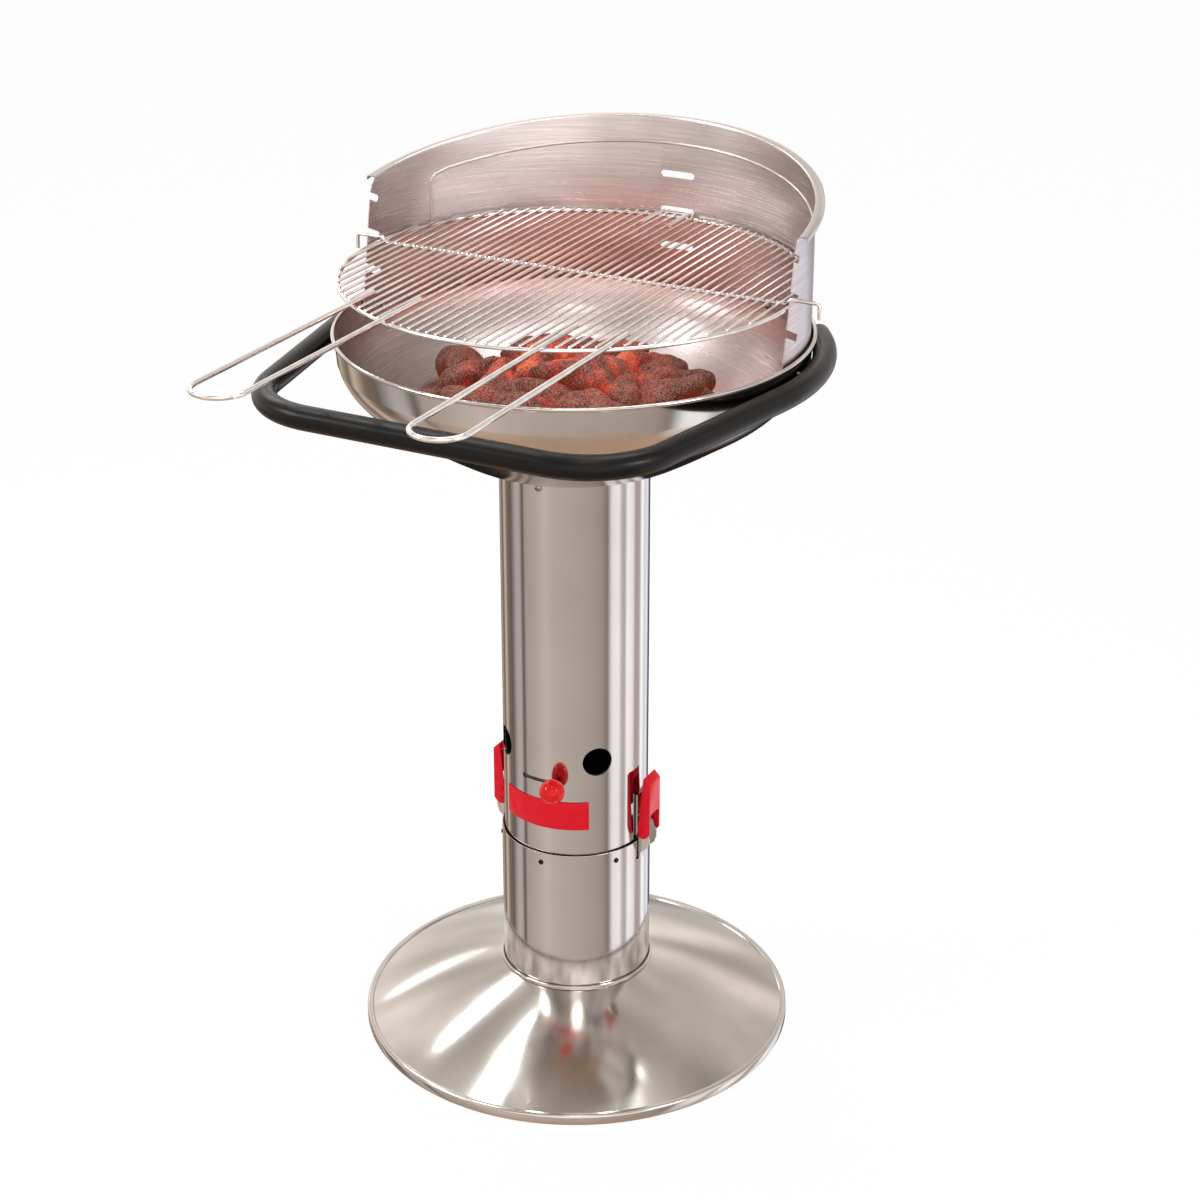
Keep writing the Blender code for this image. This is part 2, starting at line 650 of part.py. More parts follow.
def latch(name, turn):
    """One toggle latch, drawn at the +X side from the lever's pivot, then turned about the column."""
    pivot = Matrix.Translation((LATCH_PIVOT_X, 0.0, LATCH_PIVOT_Z))
    placing = turn @ pivot
    upright = placing @ Matrix.Rotation(math.pi / 2, 4, "X")
    back = GAP - LATCH_PIVOT_OUT
    front = back + LATCH_PLATE_SHEET
    lever_half = LEVER_WIDTH / 2
    cheek_in = lever_half - LEVER_SHEET
    ear_out = cheek_in - LATCH_SIDE_FIT
    ear_in = CLAW_WIDTH / 2 + CLAW_SIDE_FIT
    claw_x = -CLAW_PIVOT_IN
    claw_z = CLAW_PIVOT_RISE

    def placed(obj):
        obj.data.transform(placing)
        return obj

    def cross_hole(x, z, kind):
        return placed(rod((x, -LEVER_WIDTH, z), (x, LEVER_WIDTH, z), kind[2] + GAP))

    def pinned(obj, part_name):
        obj.matrix_world = placing @ obj.matrix_world
        as_part(obj, part_name, "polished_steel")

    outline = [(back, -LATCH_PLATE_BELOW), (front, -LATCH_PLATE_BELOW)]
    outline += arc((0, 0), LATCH_EAR_RADIUS, -90, 90, 8)
    outline += [(front, LATCH_PLATE_BELOW), (front, LATCH_PLATE_ABOVE), (back, LATCH_PLATE_ABOVE)]
    base = plate(outline, 2 * ear_out, upright)
    cut(base, placed(box((front + GAP, -ear_in, -LEVER_LENGTH), (LEVER_LENGTH, ear_in, LEVER_LENGTH))))
    cut(base, cross_hole(0, 0, LEVER_PIN))
    head_seat = front + GAP
    for i, rise in enumerate(LATCH_RIVET_RISES):
        cut(base, placed(rod((back - PAST, 0, rise), (front + PAST, 0, rise), RIVET[2] + HOLE_FIT, 8)))
        length = head_seat - back + GAP + SHEET
        pinned(headed_pin((head_seat, 0, rise), (1, 0, 0), RIVET, length), f"latch_rivet_{name}_{i + 1}")
    as_part(base, f"latch_plate_{name}", "polished_steel")

    face = LEVER_FACE_OUT
    outline = arc((0, 0), LEVER_FOOT_RADIUS, 180, 330, 8)
    outline += [
        (face, 0.0),
        (face, LEVER_LENGTH - LEVER_TIP_DEPTH),
        (face - LEVER_TIP_SLANT, LEVER_LENGTH),
        (face - LEVER_TIP_DEPTH, LEVER_LENGTH - LEVER_TIP_HEIGHT / 2),
        (face - LEVER_TIP_DEPTH, LEVER_LENGTH - LEVER_TIP_HEIGHT),
        (claw_x - CLAW_BARREL, claw_z + CLAW_BARREL),
        (-LEVER_BACK_IN, LEVER_BACK_RISE),
    ]
    lever = plate(outline, LEVER_WIDTH, upright)
    tip = LEVER_LENGTH - LEVER_TIP_HEIGHT
    arch_half = cheek_in - LEVER_ARCH_INSET
    cut(
        lever,
        placed(box((-LEVER_LENGTH, -cheek_in, -LEVER_LENGTH), (face - LEVER_SHEET, cheek_in, tip))),
        placed(box((0.0, -arch_half, -LEVER_LENGTH), (LEVER_LENGTH, arch_half, LEVER_ARCH_HEIGHT))),
        cross_hole(0, 0, LEVER_PIN),
        cross_hole(claw_x, claw_z, CLAW_PIN),
    )
    as_part(lever, f"latch_lever_{name}", "red_paint")

    strip_in = CONTAINER_RADIUS + GAP - LATCH_PIVOT_X
    hook_top = CATCH_TOP - GAP - LATCH_PIVOT_Z
    hook_low = hook_top - CLAW_TIP_SHEET
    tip_in = CONTAINER_INNER - CLAW_BITE - LATCH_PIVOT_X
    outline = arc((claw_x, claw_z), CLAW_BARREL, -50, 230, 10)
    outline += [(strip_in, hook_top), (tip_in, hook_top), (tip_in, hook_low), (strip_in + CLAW_SHEET, hook_low)]
    claw = plate(outline, CLAW_WIDTH, upright)
    cut(claw, cross_hole(claw_x, claw_z, CLAW_PIN))
    as_part(claw, f"latch_claw_{name}", "chromed_wire")

    head_seat = lever_half + GAP
    pin = headed_pin((claw_x, head_seat, claw_z), (0, 1, 0), CLAW_PIN, 2 * head_seat)
    pinned(pin, f"latch_claw_pin_{name}")
    for number, way in ((1, -1), (2, 1)):
        pin = headed_pin((0, way * head_seat, 0), (0, way, 0), LEVER_PIN, head_seat - ear_in)
        pinned(pin, f"latch_pivot_{name}_{number}")


def rim_fixings():
    """Angles of the rail bolts, then of the windshield's own screws."""
    bolts = [WIDE_STEP_DEG * steps for steps in RAIL_BOLT_STEPS]
    screw = WIDE_STEP_DEG * SHIELD_SCREW_STEPS
    return bolts + [180 - degrees for degrees in bolts], [screw, 180 - screw]


def cut_rim_holes(sheet, outer):
    bolts, screws = rim_fixings()
    for degrees in bolts + screws:
        cut(sheet, radial_hole(degrees, RAIL_BOLT_Z, RIM_BOLT[2] + HOLE_FIT, SHIELD_INNER - PAST, outer))


def bowl():
    surface = bowl_surface()
    neck_low = (NECK_RADIUS, COLUMN_TOP - BOWL_NECK_LENGTH)
    band_top = surface[-1]
    curl_centre = (band_top[0] + BOWL_CURL, band_top[1])
    profile = [neck_low] + surface + arc(curl_centre, BOWL_CURL, 180, -60, 5)[1:]
    shell = thicken(turned(profile, WIDE_STEPS, closed=False), SHEET)
    for degrees in spread(COLUMN_SCREW_COUNT, -90):
        cut(shell, shank_hole(degrees, COLUMN_SCREW_Z, COLUMN_SCREW, NECK_RADIUS, COLUMN_INNER))
    cut_rim_holes(shell, SHIELD_RADIUS + PAST)
    as_part(shell, "bowl", "brushed_steel")


def fire_grate():
    """Makes the grate where its ring meets the bowl, and returns the height of its top."""
    height, slope = bowl_slope_at(GRATE_RADIUS)
    z = height + (GRATE_WIRE + 2 * GAP) * math.sqrt(1 + slope * slope)
    grate = turned(arc((GRATE_RADIUS, z), GRATE_WIRE, 90, -210, 5), WIDE_STEPS)
    bars = int(GRATE_RADIUS / GRATE_PITCH)
    for i in range(-bars, bars + 1):
        x = i * GRATE_PITCH
        half = math.sqrt(GRATE_RADIUS**2 - x * x)
        fuse(grate, rod((x, -half, z), (x, half, z), GRATE_BAR_WIRE, 6))
    as_part(grate, "fire_grate", "black_steel")
    return z + GRATE_WIRE


def charcoal(grate_top):
    floor = grate_top + GAP
    profile = [
        (0.0, floor + COAL_HEIGHT),
        (COAL_RADIUS * 0.5, floor + COAL_HEIGHT * 0.84),
        (COAL_RADIUS * 0.85, floor + COAL_HEIGHT * 0.45),
        (COAL_RADIUS, floor),
        (0.0, floor),
    ]
    bed = turned(profile, 24, closed=False)
    chance = random.Random(7)
    for count, ring, rise in COAL_RINGS:
        for degrees in spread(count, 20 * chance.random()):
            shape = bmesh.new()
            bmesh.ops.create_icosphere(shape, subdivisions=1, radius=0.5)
            size = (
                LUMP_LENGTH + LUMP_SPREAD * chance.uniform(-0.5, 0.5),
                LUMP_WIDTH + LUMP_SPREAD * chance.uniform(-0.5, 0.5),
                LUMP_HEIGHT,
                1.0,
            )
            spin = Matrix.Rotation(math.radians(degrees + 90 + chance.uniform(-50, 50)), 4, "Z")
            tilt = Matrix.Rotation(math.radians(chance.uniform(-20, 20)), 4, "X")
            place = Matrix.Translation(around(degrees, ring, floor + rise))
            bmesh.ops.transform(shape, matrix=place @ spin @ tilt @ Matrix.Diagonal(size), verts=shape.verts)
            fuse(bed, from_bmesh(shape))
    reach = 2 * COAL_RADIUS
    cut(bed, box((-reach, -reach, floor - COAL_RADIUS), (reach, reach, floor)))
    as_part(bed, "charcoal", "charcoal")


def windshield():
    steps = SHIELD_STEPS_EACH_SIDE
    angles = [90 - WIDE_STEP_DEG * i for i in range(-steps, steps + 1)]
    radius = SHIELD_RADIUS

    def rows(degrees):
        top = SHIELD_TOP + SHIELD_TILT * math.sin(math.radians(degrees))
        return [
            (radius, SHIELD_BOTTOM),
            (radius, MIDDLE_LEVEL),
            (radius, top - SHIELD_LIP_ROUND),
            (radius + SHIELD_LIP_ROUND, top),
            (radius + SHIELD_LIP - SHIELD_LIP_ROUND, top),
            (radius + SHIELD_LIP, top - SHIELD_LIP_DROP),
        ]

    shield = thicken(curved_sheet(angles, rows), SHEET)
    width = 2 * (SHIELD_RADIUS + SHIELD_LIP + PAST)
    lean = (SHIELD_EDGE_TOP_Y - SHIELD_EDGE_LOW_Y) / (SHIELD_TOP - SHIELD_BOTTOM)
    side_on = Matrix.Rotation(math.pi / 2, 4, "Z") @ Matrix.Rotation(math.pi / 2, 4, "X")
    front = -SHIELD_RADIUS
    corner = SHIELD_CORNER
    outline = [
        (SHIELD_EDGE_LOW_Y - lean * PAST, SHIELD_BOTTOM - PAST),
        (SHIELD_EDGE_TOP_Y - lean * corner, SHIELD_TOP - corner),
        (SHIELD_EDGE_TOP_Y + corner * 0.1, SHIELD_TOP - corner * 0.4),
        (SHIELD_EDGE_TOP_Y + corner * 0.5, SHIELD_TOP),
        (SHIELD_EDGE_TOP_Y + corner, SHIELD_TOP + 2 * corner),
        (front, SHIELD_TOP + 2 * corner),
        (front, SHIELD_BOTTOM - PAST),
    ]
    cut(shield, plate(outline, width, side_on))
    half = LEVEL_SLOT_HEIGHT / 2
    seat = SUPPORT_WIRE + GAP
    high = LEVEL_SLOT_HEIGHT - seat
    edge = NOTCH_END_ROUND
    mouth = -4 * LEVEL_PITCH
    notch = [(mouth, -seat)] + arc((seat - edge, edge - seat), edge, -90, 0, 3)
    notch += arc((seat - edge, high - edge), edge, 0, 90, 3) + [(mouth, high)]
    slope = Matrix.Rotation(math.radians(-NOTCH_SLOPE_DEG), 4, "X")
    rear_in = REAR_SLOT_WIDTH / 2 - half
    rear = arc((rear_in, 0), half, -90, 90, 6) + arc((-rear_in, 0), half, 90, 270, 6)
    for level in range(LEVEL_COUNT):
        z = RIM_TOP + LEVEL_LOW + LEVEL_PITCH * level
        hang = Matrix.Translation((0, SUPPORT_Y, z - half + seat))
        cut(shield, plate(notch, width, hang @ slope @ side_on))
        standing = Matrix.Translation((0, SHIELD_RADIUS, z)) @ Matrix.Rotation(math.pi / 2, 4, "X")
        cut(shield, plate(rear, 4 * PAST, standing))
    cut_rim_holes(shield, SHIELD_RADIUS + PAST)
    as_part(shield, "windshield", "brushed_steel")


def rail_path():
    """The rail's right half seen from above: straight front, round corner, then along the bowl."""
    corner = Vector((RAIL_RING - RAIL_TAPER - RAIL_CORNER_RADIUS, RAIL_CORNER_RADIUS - rail_front()))
    to_axis = math.degrees(math.atan2(-corner.y, -corner.x))
    lean = math.degrees(math.asin((RAIL_RING - RAIL_CORNER_RADIUS) / corner.length))
    tangent = to_axis - lean - 90
    first = math.ceil(tangent / WIDE_STEP_DEG + 0.2)
    along = [tangent] + [WIDE_STEP_DEG * i for i in range(first, RAIL_END_STEPS + 1)]
    return arc(corner, RAIL_CORNER_RADIUS, -90, tangent, 8) + [tuple(around(d, RAIL_RING, 0).xy) for d in along]


def rail_front():
    """How far the rail's front stretch lies from the axis."""
    return BOWL_CREASE_RADIUS + BOWL_BAND_FLARE + 2 * BOWL_CURL + RAIL_REACH


def rail_and_fixings():
    right = rail_path()
    left = [(-x, y) for x, y in reversed(right)]
    rail = wire([(x, y, RAIL_Z) for x, y in left + right], RAIL_TUBE, resolution=3)
    bolts, screws = rim_fixings()
    head_seat = SHIELD_INNER * WIDE_FLAT - GAP
    for i, degrees in enumerate(bolts):
        bore_end = RAIL_RING - RAIL_BOLT_SHORT
        bore = RIM_BOLT[2] + HOLE_FIT
        cut(rail, radial_hole(degrees, RAIL_BOLT_Z, bore, RAIL_RING - 2 * RAIL_TUBE, bore_end))
        base = around(degrees, head_seat, RAIL_BOLT_Z)
        bolt = headed_pin(base, -outward(degrees), RIM_BOLT, bore_end - GAP - head_seat)
        as_part(bolt, f"rail_bolt_{i + 1}", "polished_steel")
    for i, degrees in enumerate(screws):
        base = around(degrees, head_seat, RAIL_BOLT_Z)
        screw = headed_pin(base, -outward(degrees), RIM_BOLT, 4 * SHEET + BOWL_BAND_FLARE)
        as_part(screw, f"windshield_screw_{i + 1}", "polished_steel")
    as_part(rail, "rail", "black_paint")


def chord_half(x):
    """Half the length of a bar across the grid's ring."""
    return math.sqrt(GRID_RING_RADIUS**2 - x * x)


def handle_back(x):
    """Where a handle's legs end, behind the ring at its outer leg."""
    return GRID_SHIFT_Y - chord_half(x) + GRID_HANDLE_GRIP


def cooking_grid():
    ring_z = GRID_TOP - GRID_RING_WIRE
    ring = turned(arc((GRID_RING_RADIUS, ring_z), GRID_RING_WIRE, 90, -225, 7), WIDE_STEPS)
    ring.matrix_world = Matrix.Translation((0, GRID_SHIFT_Y, 0))
    bars = int((GRID_RING_RADIUS - 2 * GRID_RING_WIRE) / GRID_PITCH)
    inner_leg, outer_leg = [GRID_PITCH * bar for bar in GRID_HANDLE_BARS]
    legs_end = handle_back(outer_leg)
    for i in range(-bars, bars + 1):
        x = i * GRID_PITCH
        front = GRID_SHIFT_Y - chord_half(x) - GRID_BAR_WIRE / 2
        back = GRID_SHIFT_Y + chord_half(x) + GRID_BAR_WIRE / 2
        if abs(i) in GRID_HANDLE_BARS:
            front = legs_end + GAP
        fuse(ring, rod((x, front, GRID_BAR_Z), (x, back, GRID_BAR_Z), GRID_BAR_WIRE, 6))
    as_part(ring, "cooking_grid", "chromed_wire")

    handle_z = GRID_TOP + GAP + GRID_HANDLE_WIRE
    middle = (inner_leg + outer_leg) / 2
    half = (outer_leg - inner_leg) / 2
    for name, side in (("left", -1), ("right", 1)):
        loop = arc((side * middle, half - GRID_RING_RADIUS - GRID_HANDLE_REACH), half, 180, 360, 10)
        points = [(loop[0][0], legs_end)] + loop + [(loop[-1][0], legs_end)]
        handle = wire([(x, y, handle_z) for x, y in points], GRID_HANDLE_WIRE, resolution=3)
        as_part(handle, f"grid_handle_{name}", "chromed_wire")
    return bars * GRID_PITCH


def grid_hangers(last_bar):
    """The wire that hangs the grid in the notches, and the loop that goes through a rear slot."""
    under = GRID_BAR_Z - GRID_BAR_WIRE - GAP - SUPPORT_WIRE
    out = SHIELD_RADIUS + HOOK_OUT
    corner = arc((out - HOOK_BEND, HANGER_Z - HOOK_BEND), HOOK_BEND, 90, 0, 2)
    right = [
        (last_bar + GRID_BAR_WIRE + 2 * GAP, under),
        (GRID_RING_RADIUS - GRID_RING_WIRE - 2 * GAP, HANGER_Z),
        *corner,
        (out, HANGER_Z - HOOK_DROP),
    ]
    left = [(-x, z) for x, z in reversed(right)]
    support = wire([(x, SUPPORT_Y, z) for x, z in left + right], SUPPORT_WIRE)
    as_part(support, "grid_support_wire", "chromed_wire")

    half = TAB_HALF_PITCHES * GRID_PITCH
    end_y = SHIELD_RADIUS + TAB_PAST_SHIELD - SUPPORT_WIRE
    right = arc((half - HOOK_BEND, end_y - HOOK_BEND), HOOK_BEND, 0, 90, 3)
    left = [(-x, y) for x, y in reversed(right)]
    start_y = end_y - TAB_LENGTH
    points = [(half, start_y)] + right + left + [(-half, start_y)]
    as_part(wire([(x, y, HANGER_Z) for x, y in points], SUPPORT_WIRE), "grid_rear_tab", "chromed_wire")


foot()
ash_container()
column()
front_plate()
vents()
latch("right", Matrix.Identity(4))
latch("left", Matrix.Rotation(math.pi, 4, "Z"))
bowl()
charcoal(fire_grate())
windshield()
rail_and_fixings()
grid_hangers(cooking_grid())
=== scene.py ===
import random
from functools import partial
from math import acos, cos, degrees, hypot, pi, radians, sin, sqrt, tan

import bmesh
import bpy
from mathutils import Matrix, Vector


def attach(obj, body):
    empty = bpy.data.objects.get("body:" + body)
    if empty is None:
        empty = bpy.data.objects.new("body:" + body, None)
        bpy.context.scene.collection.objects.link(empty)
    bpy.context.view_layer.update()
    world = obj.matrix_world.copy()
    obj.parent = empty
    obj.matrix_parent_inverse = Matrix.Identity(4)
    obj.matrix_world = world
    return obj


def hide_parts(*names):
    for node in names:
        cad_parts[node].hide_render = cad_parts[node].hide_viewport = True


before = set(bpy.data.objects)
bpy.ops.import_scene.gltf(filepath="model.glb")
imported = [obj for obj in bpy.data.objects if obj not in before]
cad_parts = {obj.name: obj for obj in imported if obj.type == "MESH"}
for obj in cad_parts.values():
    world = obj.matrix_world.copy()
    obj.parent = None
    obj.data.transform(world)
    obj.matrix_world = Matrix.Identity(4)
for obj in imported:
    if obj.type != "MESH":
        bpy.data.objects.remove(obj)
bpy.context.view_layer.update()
bpy.ops.object.select_all(action="DESELECT")

xAxis = Vector((1, 0, 0))
zAxis = Vector((0, 0, 1))


# Small tools for modelling

def clearSelection():
    if bpy.context.mode != "OBJECT":
        bpy.ops.object.mode_set(mode="OBJECT")
    bpy.ops.object.select_all(action="DESELECT")


def pick(piece):
    clearSelection()
    piece.select_set(True)
    bpy.context.view_layer.objects.active = piece


def edit(piece):
    pick(piece)
    bpy.ops.object.mode_set(mode="EDIT")
    bpy.ops.mesh.select_all(action="DESELECT")


def leaveEdit():
    bpy.ops.object.mode_set(mode="OBJECT")


def selectAll():
    bpy.ops.mesh.select_all(action="SELECT")


def selectWhere(piece, kind, test):
    # selects the vertices, edges or faces that a test of their middle and normal says yes to
    bpy.ops.mesh.select_mode(type={"verts": "VERT", "edges": "EDGE", "faces": "FACE"}[kind])
    bpy.ops.mesh.select_all(action="DESELECT")
    shape = bmesh.from_edit_mesh(piece.data)
    shape.normal_update()
    place = piece.matrix_world
    for part in getattr(shape, kind):
        if kind == "verts":
            middle, facing = part.co, part.normal
        elif kind == "edges":
            middle, facing = (part.verts[0].co + part.verts[1].co) / 2, part.verts[0].normal
        else:
            middle, facing = part.calc_center_median(), part.normal
        if test(place @ middle, facing):
            part.select_set(True)
    shape.select_flush_mode()
    bmesh.update_edit_mesh(piece.data)


def around(radius, bearing, height):
    # a point on a circle round the column's axis
    turn = radians(bearing)
    return Vector((radius * cos(turn), radius * sin(turn), height))


def arc(middle, radius, first, last, steps):
    # points of an arc in a flat section
    points = []
    for step in range(steps + 1):
        turn = radians(first + (last - first) * step / steps)
        points.append((middle[0] + radius * cos(turn), middle[1] + radius * sin(turn)))
    return points


def added(name, operator, **settings):
    # the object that an operator adds, under that name
    clearSelection()
    operator(**settings)
    piece = bpy.context.object
    piece.name = name
    return piece


def beginPath(name, start):
    # a mesh of one point, left in edit mode, to draw a section or a wire from
    piece = added(name, bpy.ops.mesh.primitive_plane_add, size=0.001, location=start)
    piece.data.name = name
    bpy.ops.object.mode_set(mode="EDIT")
    bpy.ops.mesh.select_mode(type="VERT")
    selectAll()
    bpy.ops.mesh.merge(type="CENTER")
    return piece


def drawOut(step):
    bpy.ops.mesh.extrude_region_move(TRANSFORM_OT_translate={"value": Vector(step)})


def drawPath(points):
    for here, there in zip(points, points[1:]):
        drawOut(Vector(there) - Vector(here))


def closeSeams():
    selectAll()
    bpy.ops.mesh.remove_doubles(threshold=0.00001)
    bpy.ops.mesh.normals_make_consistent(inside=False)


def turned(name, section, steps, start=0, sweep=360, origin=(0, 0, 0), axis=zAxis, side=None):
    # a section of (radius, height) points, spun about an axis
    origin = Vector(origin)
    side = side or around(1, start, 0)
    points = [origin + side * radius + axis * height for radius, height in section]
    piece = beginPath(name, points[0])
    drawPath(points)
    selectAll()
    bpy.ops.mesh.spin(steps=steps, angle=-radians(sweep), center=origin, axis=axis)
    closeSeams()
    leaveEdit()
    return piece


def plateOf(name, outline, depth):
    # a flat outline of points, filled and drawn out by a vector
    piece = beginPath(name, outline[0])
    drawPath(outline)
    selectAll()
    bpy.ops.mesh.edge_face_add()
    drawOut(depth)
    selectAll()
    bpy.ops.mesh.normals_make_consistent(inside=False)
    leaveEdit()
    return piece


def block(name, low, high):
    low, high = Vector(low), Vector(high)
    return added(name, bpy.ops.mesh.primitive_cube_add, size=1, location=(low + high) / 2, scale=high - low)


def rodBetween(name, start, end, radius, sides=48):
    start, end = Vector(start), Vector(end)
    lean = (end - start).to_track_quat("Z", "Y").to_euler()
    return added(
        name, bpy.ops.mesh.primitive_cylinder_add, vertices=sides, radius=radius,
        depth=(end - start).length, location=(start + end) / 2, rotation=lean,
    )


def modify(piece, kind, **settings):
    # adds a modifier and applies it
    modifier = piece.modifiers.new(kind, kind)
    for name, value in settings.items():
        setattr(modifier, name, value)
    pick(piece)
    bpy.ops.object.modifier_apply(modifier=modifier.name)


def combine(piece, operation, *others):
    for other in others:
        modify(piece, "BOOLEAN", operation=operation, solver="EXACT", object=other)
        bpy.data.objects.remove(other)


def giveWall(piece, thickness, outwards=False, insideSlot=0):
    side = 1 if outwards else -1
    wall = {"thickness": thickness, "offset": side, "use_even_offset": True}
    modify(piece, "SOLIDIFY", material_offset=insideSlot, **wall)


def softenEdges(piece, width, segments, angle):
    soft = {"width": width, "segments": segments, "limit_method": "ANGLE", "angle_limit": radians(angle)}
    modify(piece, "BEVEL", harden_normals=False, **soft)


def roundPath(points, radius, steps=6):
    # the same path with an arc in place of each corner
    path = [Vector(points[0])]
    for before, corner, after in zip(points, points[1:], points[2:]):
        corner = Vector(corner)
        back = (Vector(before) - corner).normalized()
        ahead = (Vector(after) - corner).normalized()
        half = back.angle(ahead) / 2
        reach = radius / tan(half)
        middle = corner + (back + ahead).normalized() * (radius / sin(half))
        first = corner + back * reach - middle
        last = corner + ahead * reach - middle
        whole = first.angle(last)
        for step in range(steps + 1):
            share = step / steps
            spoke = first * sin((1 - share) * whole) + last * sin(share * whole)
            path.append(middle + spoke / sin(whole))
    path.append(Vector(points[-1]))
    return path


def bentWire(name, path, radius, sides=12, tip=0.0):
    # a path drawn point by point, turned to a curve with that radius and back to a mesh
    piece = beginPath(name, path[0])
    drawPath(path)
    clearSelection()
    pick(piece)
    bpy.ops.object.convert(target="CURVE")
    piece = bpy.context.object
    piece.data.bevel_depth = radius
    piece.data.bevel_resolution = (sides - 4) // 2
    piece.data.use_fill_caps = True
    bpy.ops.object.convert(target="MESH")
    piece = bpy.context.object
    edit(piece)
    closeSeams()
    if tip:
        ends = [Vector(path[0]), Vector(path[-1])]
        near = radius / 20
        selectWhere(piece, "faces", lambda place, facing: min((place - end).length for end in ends) < near)
        bpy.ops.mesh.bevel(offset=tip, segments=3, affect="EDGES")
    leaveEdit()
    return piece


def joinPieces(first, *others):
    pick(first)
    for other in others:
        other.select_set(True)
    bpy.ops.object.join()
    return first


def copyOf(piece, name, move):
    pick(piece)
    bpy.ops.object.duplicate(linked=False)
    twin = bpy.context.object
    twin.name = name
    twin.data.name = name
    twin.matrix_world = move @ twin.matrix_world
    return twin


def settle(piece, smoothAngle=35):
    # the piece's place goes into its mesh, and its rounded faces shade smooth
    pick(piece)
    bpy.ops.object.transform_apply(location=True, rotation=True, scale=True)
    bpy.ops.object.shade_smooth_by_angle(angle=radians(smoothAngle))


def dress(piece, *materials):
    piece.data.materials.clear()
    for material in materials:
        piece.data.materials.append(material)


def coverFaces(piece, number, test):
    # gives the material with that number to the faces that pass the test
    edit(piece)
    selectWhere(piece, "faces", test)
    piece.active_material_index = number
    bpy.ops.object.material_slot_assign()
    leaveEdit()


def handOver(piece, body, slotName, *nodes, smoothAngle=35):
    settle(piece, smoothAngle)
    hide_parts(*nodes)
    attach(piece, body)


# Materials

def paint(hexCode, level=1.0):
    # an sRGB hex value as linear colour
    values = []
    for start in (1, 3, 5):
        value = int(hexCode[start:start + 2], 16) / 255
        value = value / 12.92 if value <= 0.04045 else ((value + 0.055) / 1.055) ** 2.4
        values.append(value * level)
    return (*values, 1.0)


def addNode(tree, kind, inputs=None, stops=None, **settings):
    # an input given as a node is linked from the first output that node has in use
    node = tree.nodes.new("ShaderNode" + kind)
    for name, value in settings.items():
        setattr(node, name, value)
    for name, value in (inputs or {}).items():
        if isinstance(value, bpy.types.Node):
            value = [output for output in value.outputs if output.enabled][0]
        if isinstance(value, bpy.types.NodeSocket):
            tree.links.new(value, node.inputs[name])
        else:
            node.inputs[name].default_value = value
    if stops:
        ramp = node.color_ramp
        while len(ramp.elements) > 1:
            ramp.elements.remove(ramp.elements[-1])
        ramp.elements[0].position = stops[0][0]
        ramp.elements[0].color = stops[0][1]
        for position, colour in stops[1:]:
            ramp.elements.new(position).color = colour
    return node


def emptyTree(owner):
    # clears the owner's nodes and gives the function that adds to them
    owner.use_nodes = True
    owner.node_tree.nodes.clear()
    return partial(addNode, owner.node_tree)


def startMaterial(name):
    material = bpy.data.materials.new(name)
    add = emptyTree(material)
    return material, add, add("TexCoord").outputs["Object"]


# Two colours that a noise goes between, the span of roughness, further inputs, and the bump
coats = {
    # Stainless sheet, rolled and buffed: a near mirror, with faint lines up the tube from the rolls
    "polishedStainless": (("#cec9c5", "#c6c1bd"), (0.06, 0.10), {"Metallic": 1}, {}),
    # Stainless sheet, spun and polished on the lathe: reflections are blurred, with faint rings
    "satinStainless": (
        ("#d0cbc6", "#c4bfba"), (0.09, 0.15), {"Metallic": 1}, {"Strength": 0.03, "Distance": 0.0003},
    ),
    # Stainless sheet, brushed round and round: streaks along the circumference, reflections stretched out
    "brushedStainless": (
        ("#d2c9c8", "#b6abab"), (0.24, 0.34), {"Metallic": 1}, {"Strength": 0.07, "Distance": 0.0003},
    ),
    # Black powder coat, baked on: a soft sheen over a fine orange peel
    "blackPowderCoat": (
        ("#070505", "#0b0908"), (0.28, 0.36), {"Specular IOR Level": 0.22},
        {"Strength": 0.06, "Distance": 0.0004},
    ),
    # Steel wire with bright chrome plate: sharp small highlights, slightly uneven along the wire
    "chromedWire": (("#f2f1f0", "#e2dfdd"), (0.06, 0.13), {"Metallic": 1}, {}),
    # Zinc plate on small screws: a soft grey shine with a grain of about 1 mm
    "zincPlatedSteel": (("#b5b0aa", "#938e88"), (0.22, 0.34), {"Metallic": 1}, {}),
    # Rivets blackened in a bath: small dark spots with the same soft shine
    "phosphatedSteel": (("#3a3735", "#1e1c1b"), (0.22, 0.34), {"Metallic": 1}, {}),
    # Steel inside the chimney, dulled by smoke and darkened further as painted shade of the tube's inside:
    # dark, rough and blotchy
    "smokedShadedSteel": (("#2a2725", "#6a6460"), (0.55, 0.80), {"Metallic": 0.6}, {}),
    # Iron bars burnt black by charcoal: matt and scaly, with a brown bloom
    "burntIron": (("#141211", "#3a2a22"), (0.60, 0.90), {}, {"Strength": 0.4, "Distance": 0.0004}),
    # Stove enamel on steel: deep, even red with a low gloss
    "redEnamel": (("#e20b24", "#d90a21"), (0.20, 0.26), {"Specular IOR Level": 0.18}, {}),
    # Moulded phenolic knob: glossy, even red with the faintest flow marks
    "redPhenolic": (("#e20306", "#d60205"), (0.03, 0.06), {"Specular IOR Level": 0.3}, {}),
}

# Most of a noise's values lie in this span
noiseSpan = {"From Min": 0.3, "From Max": 0.7}


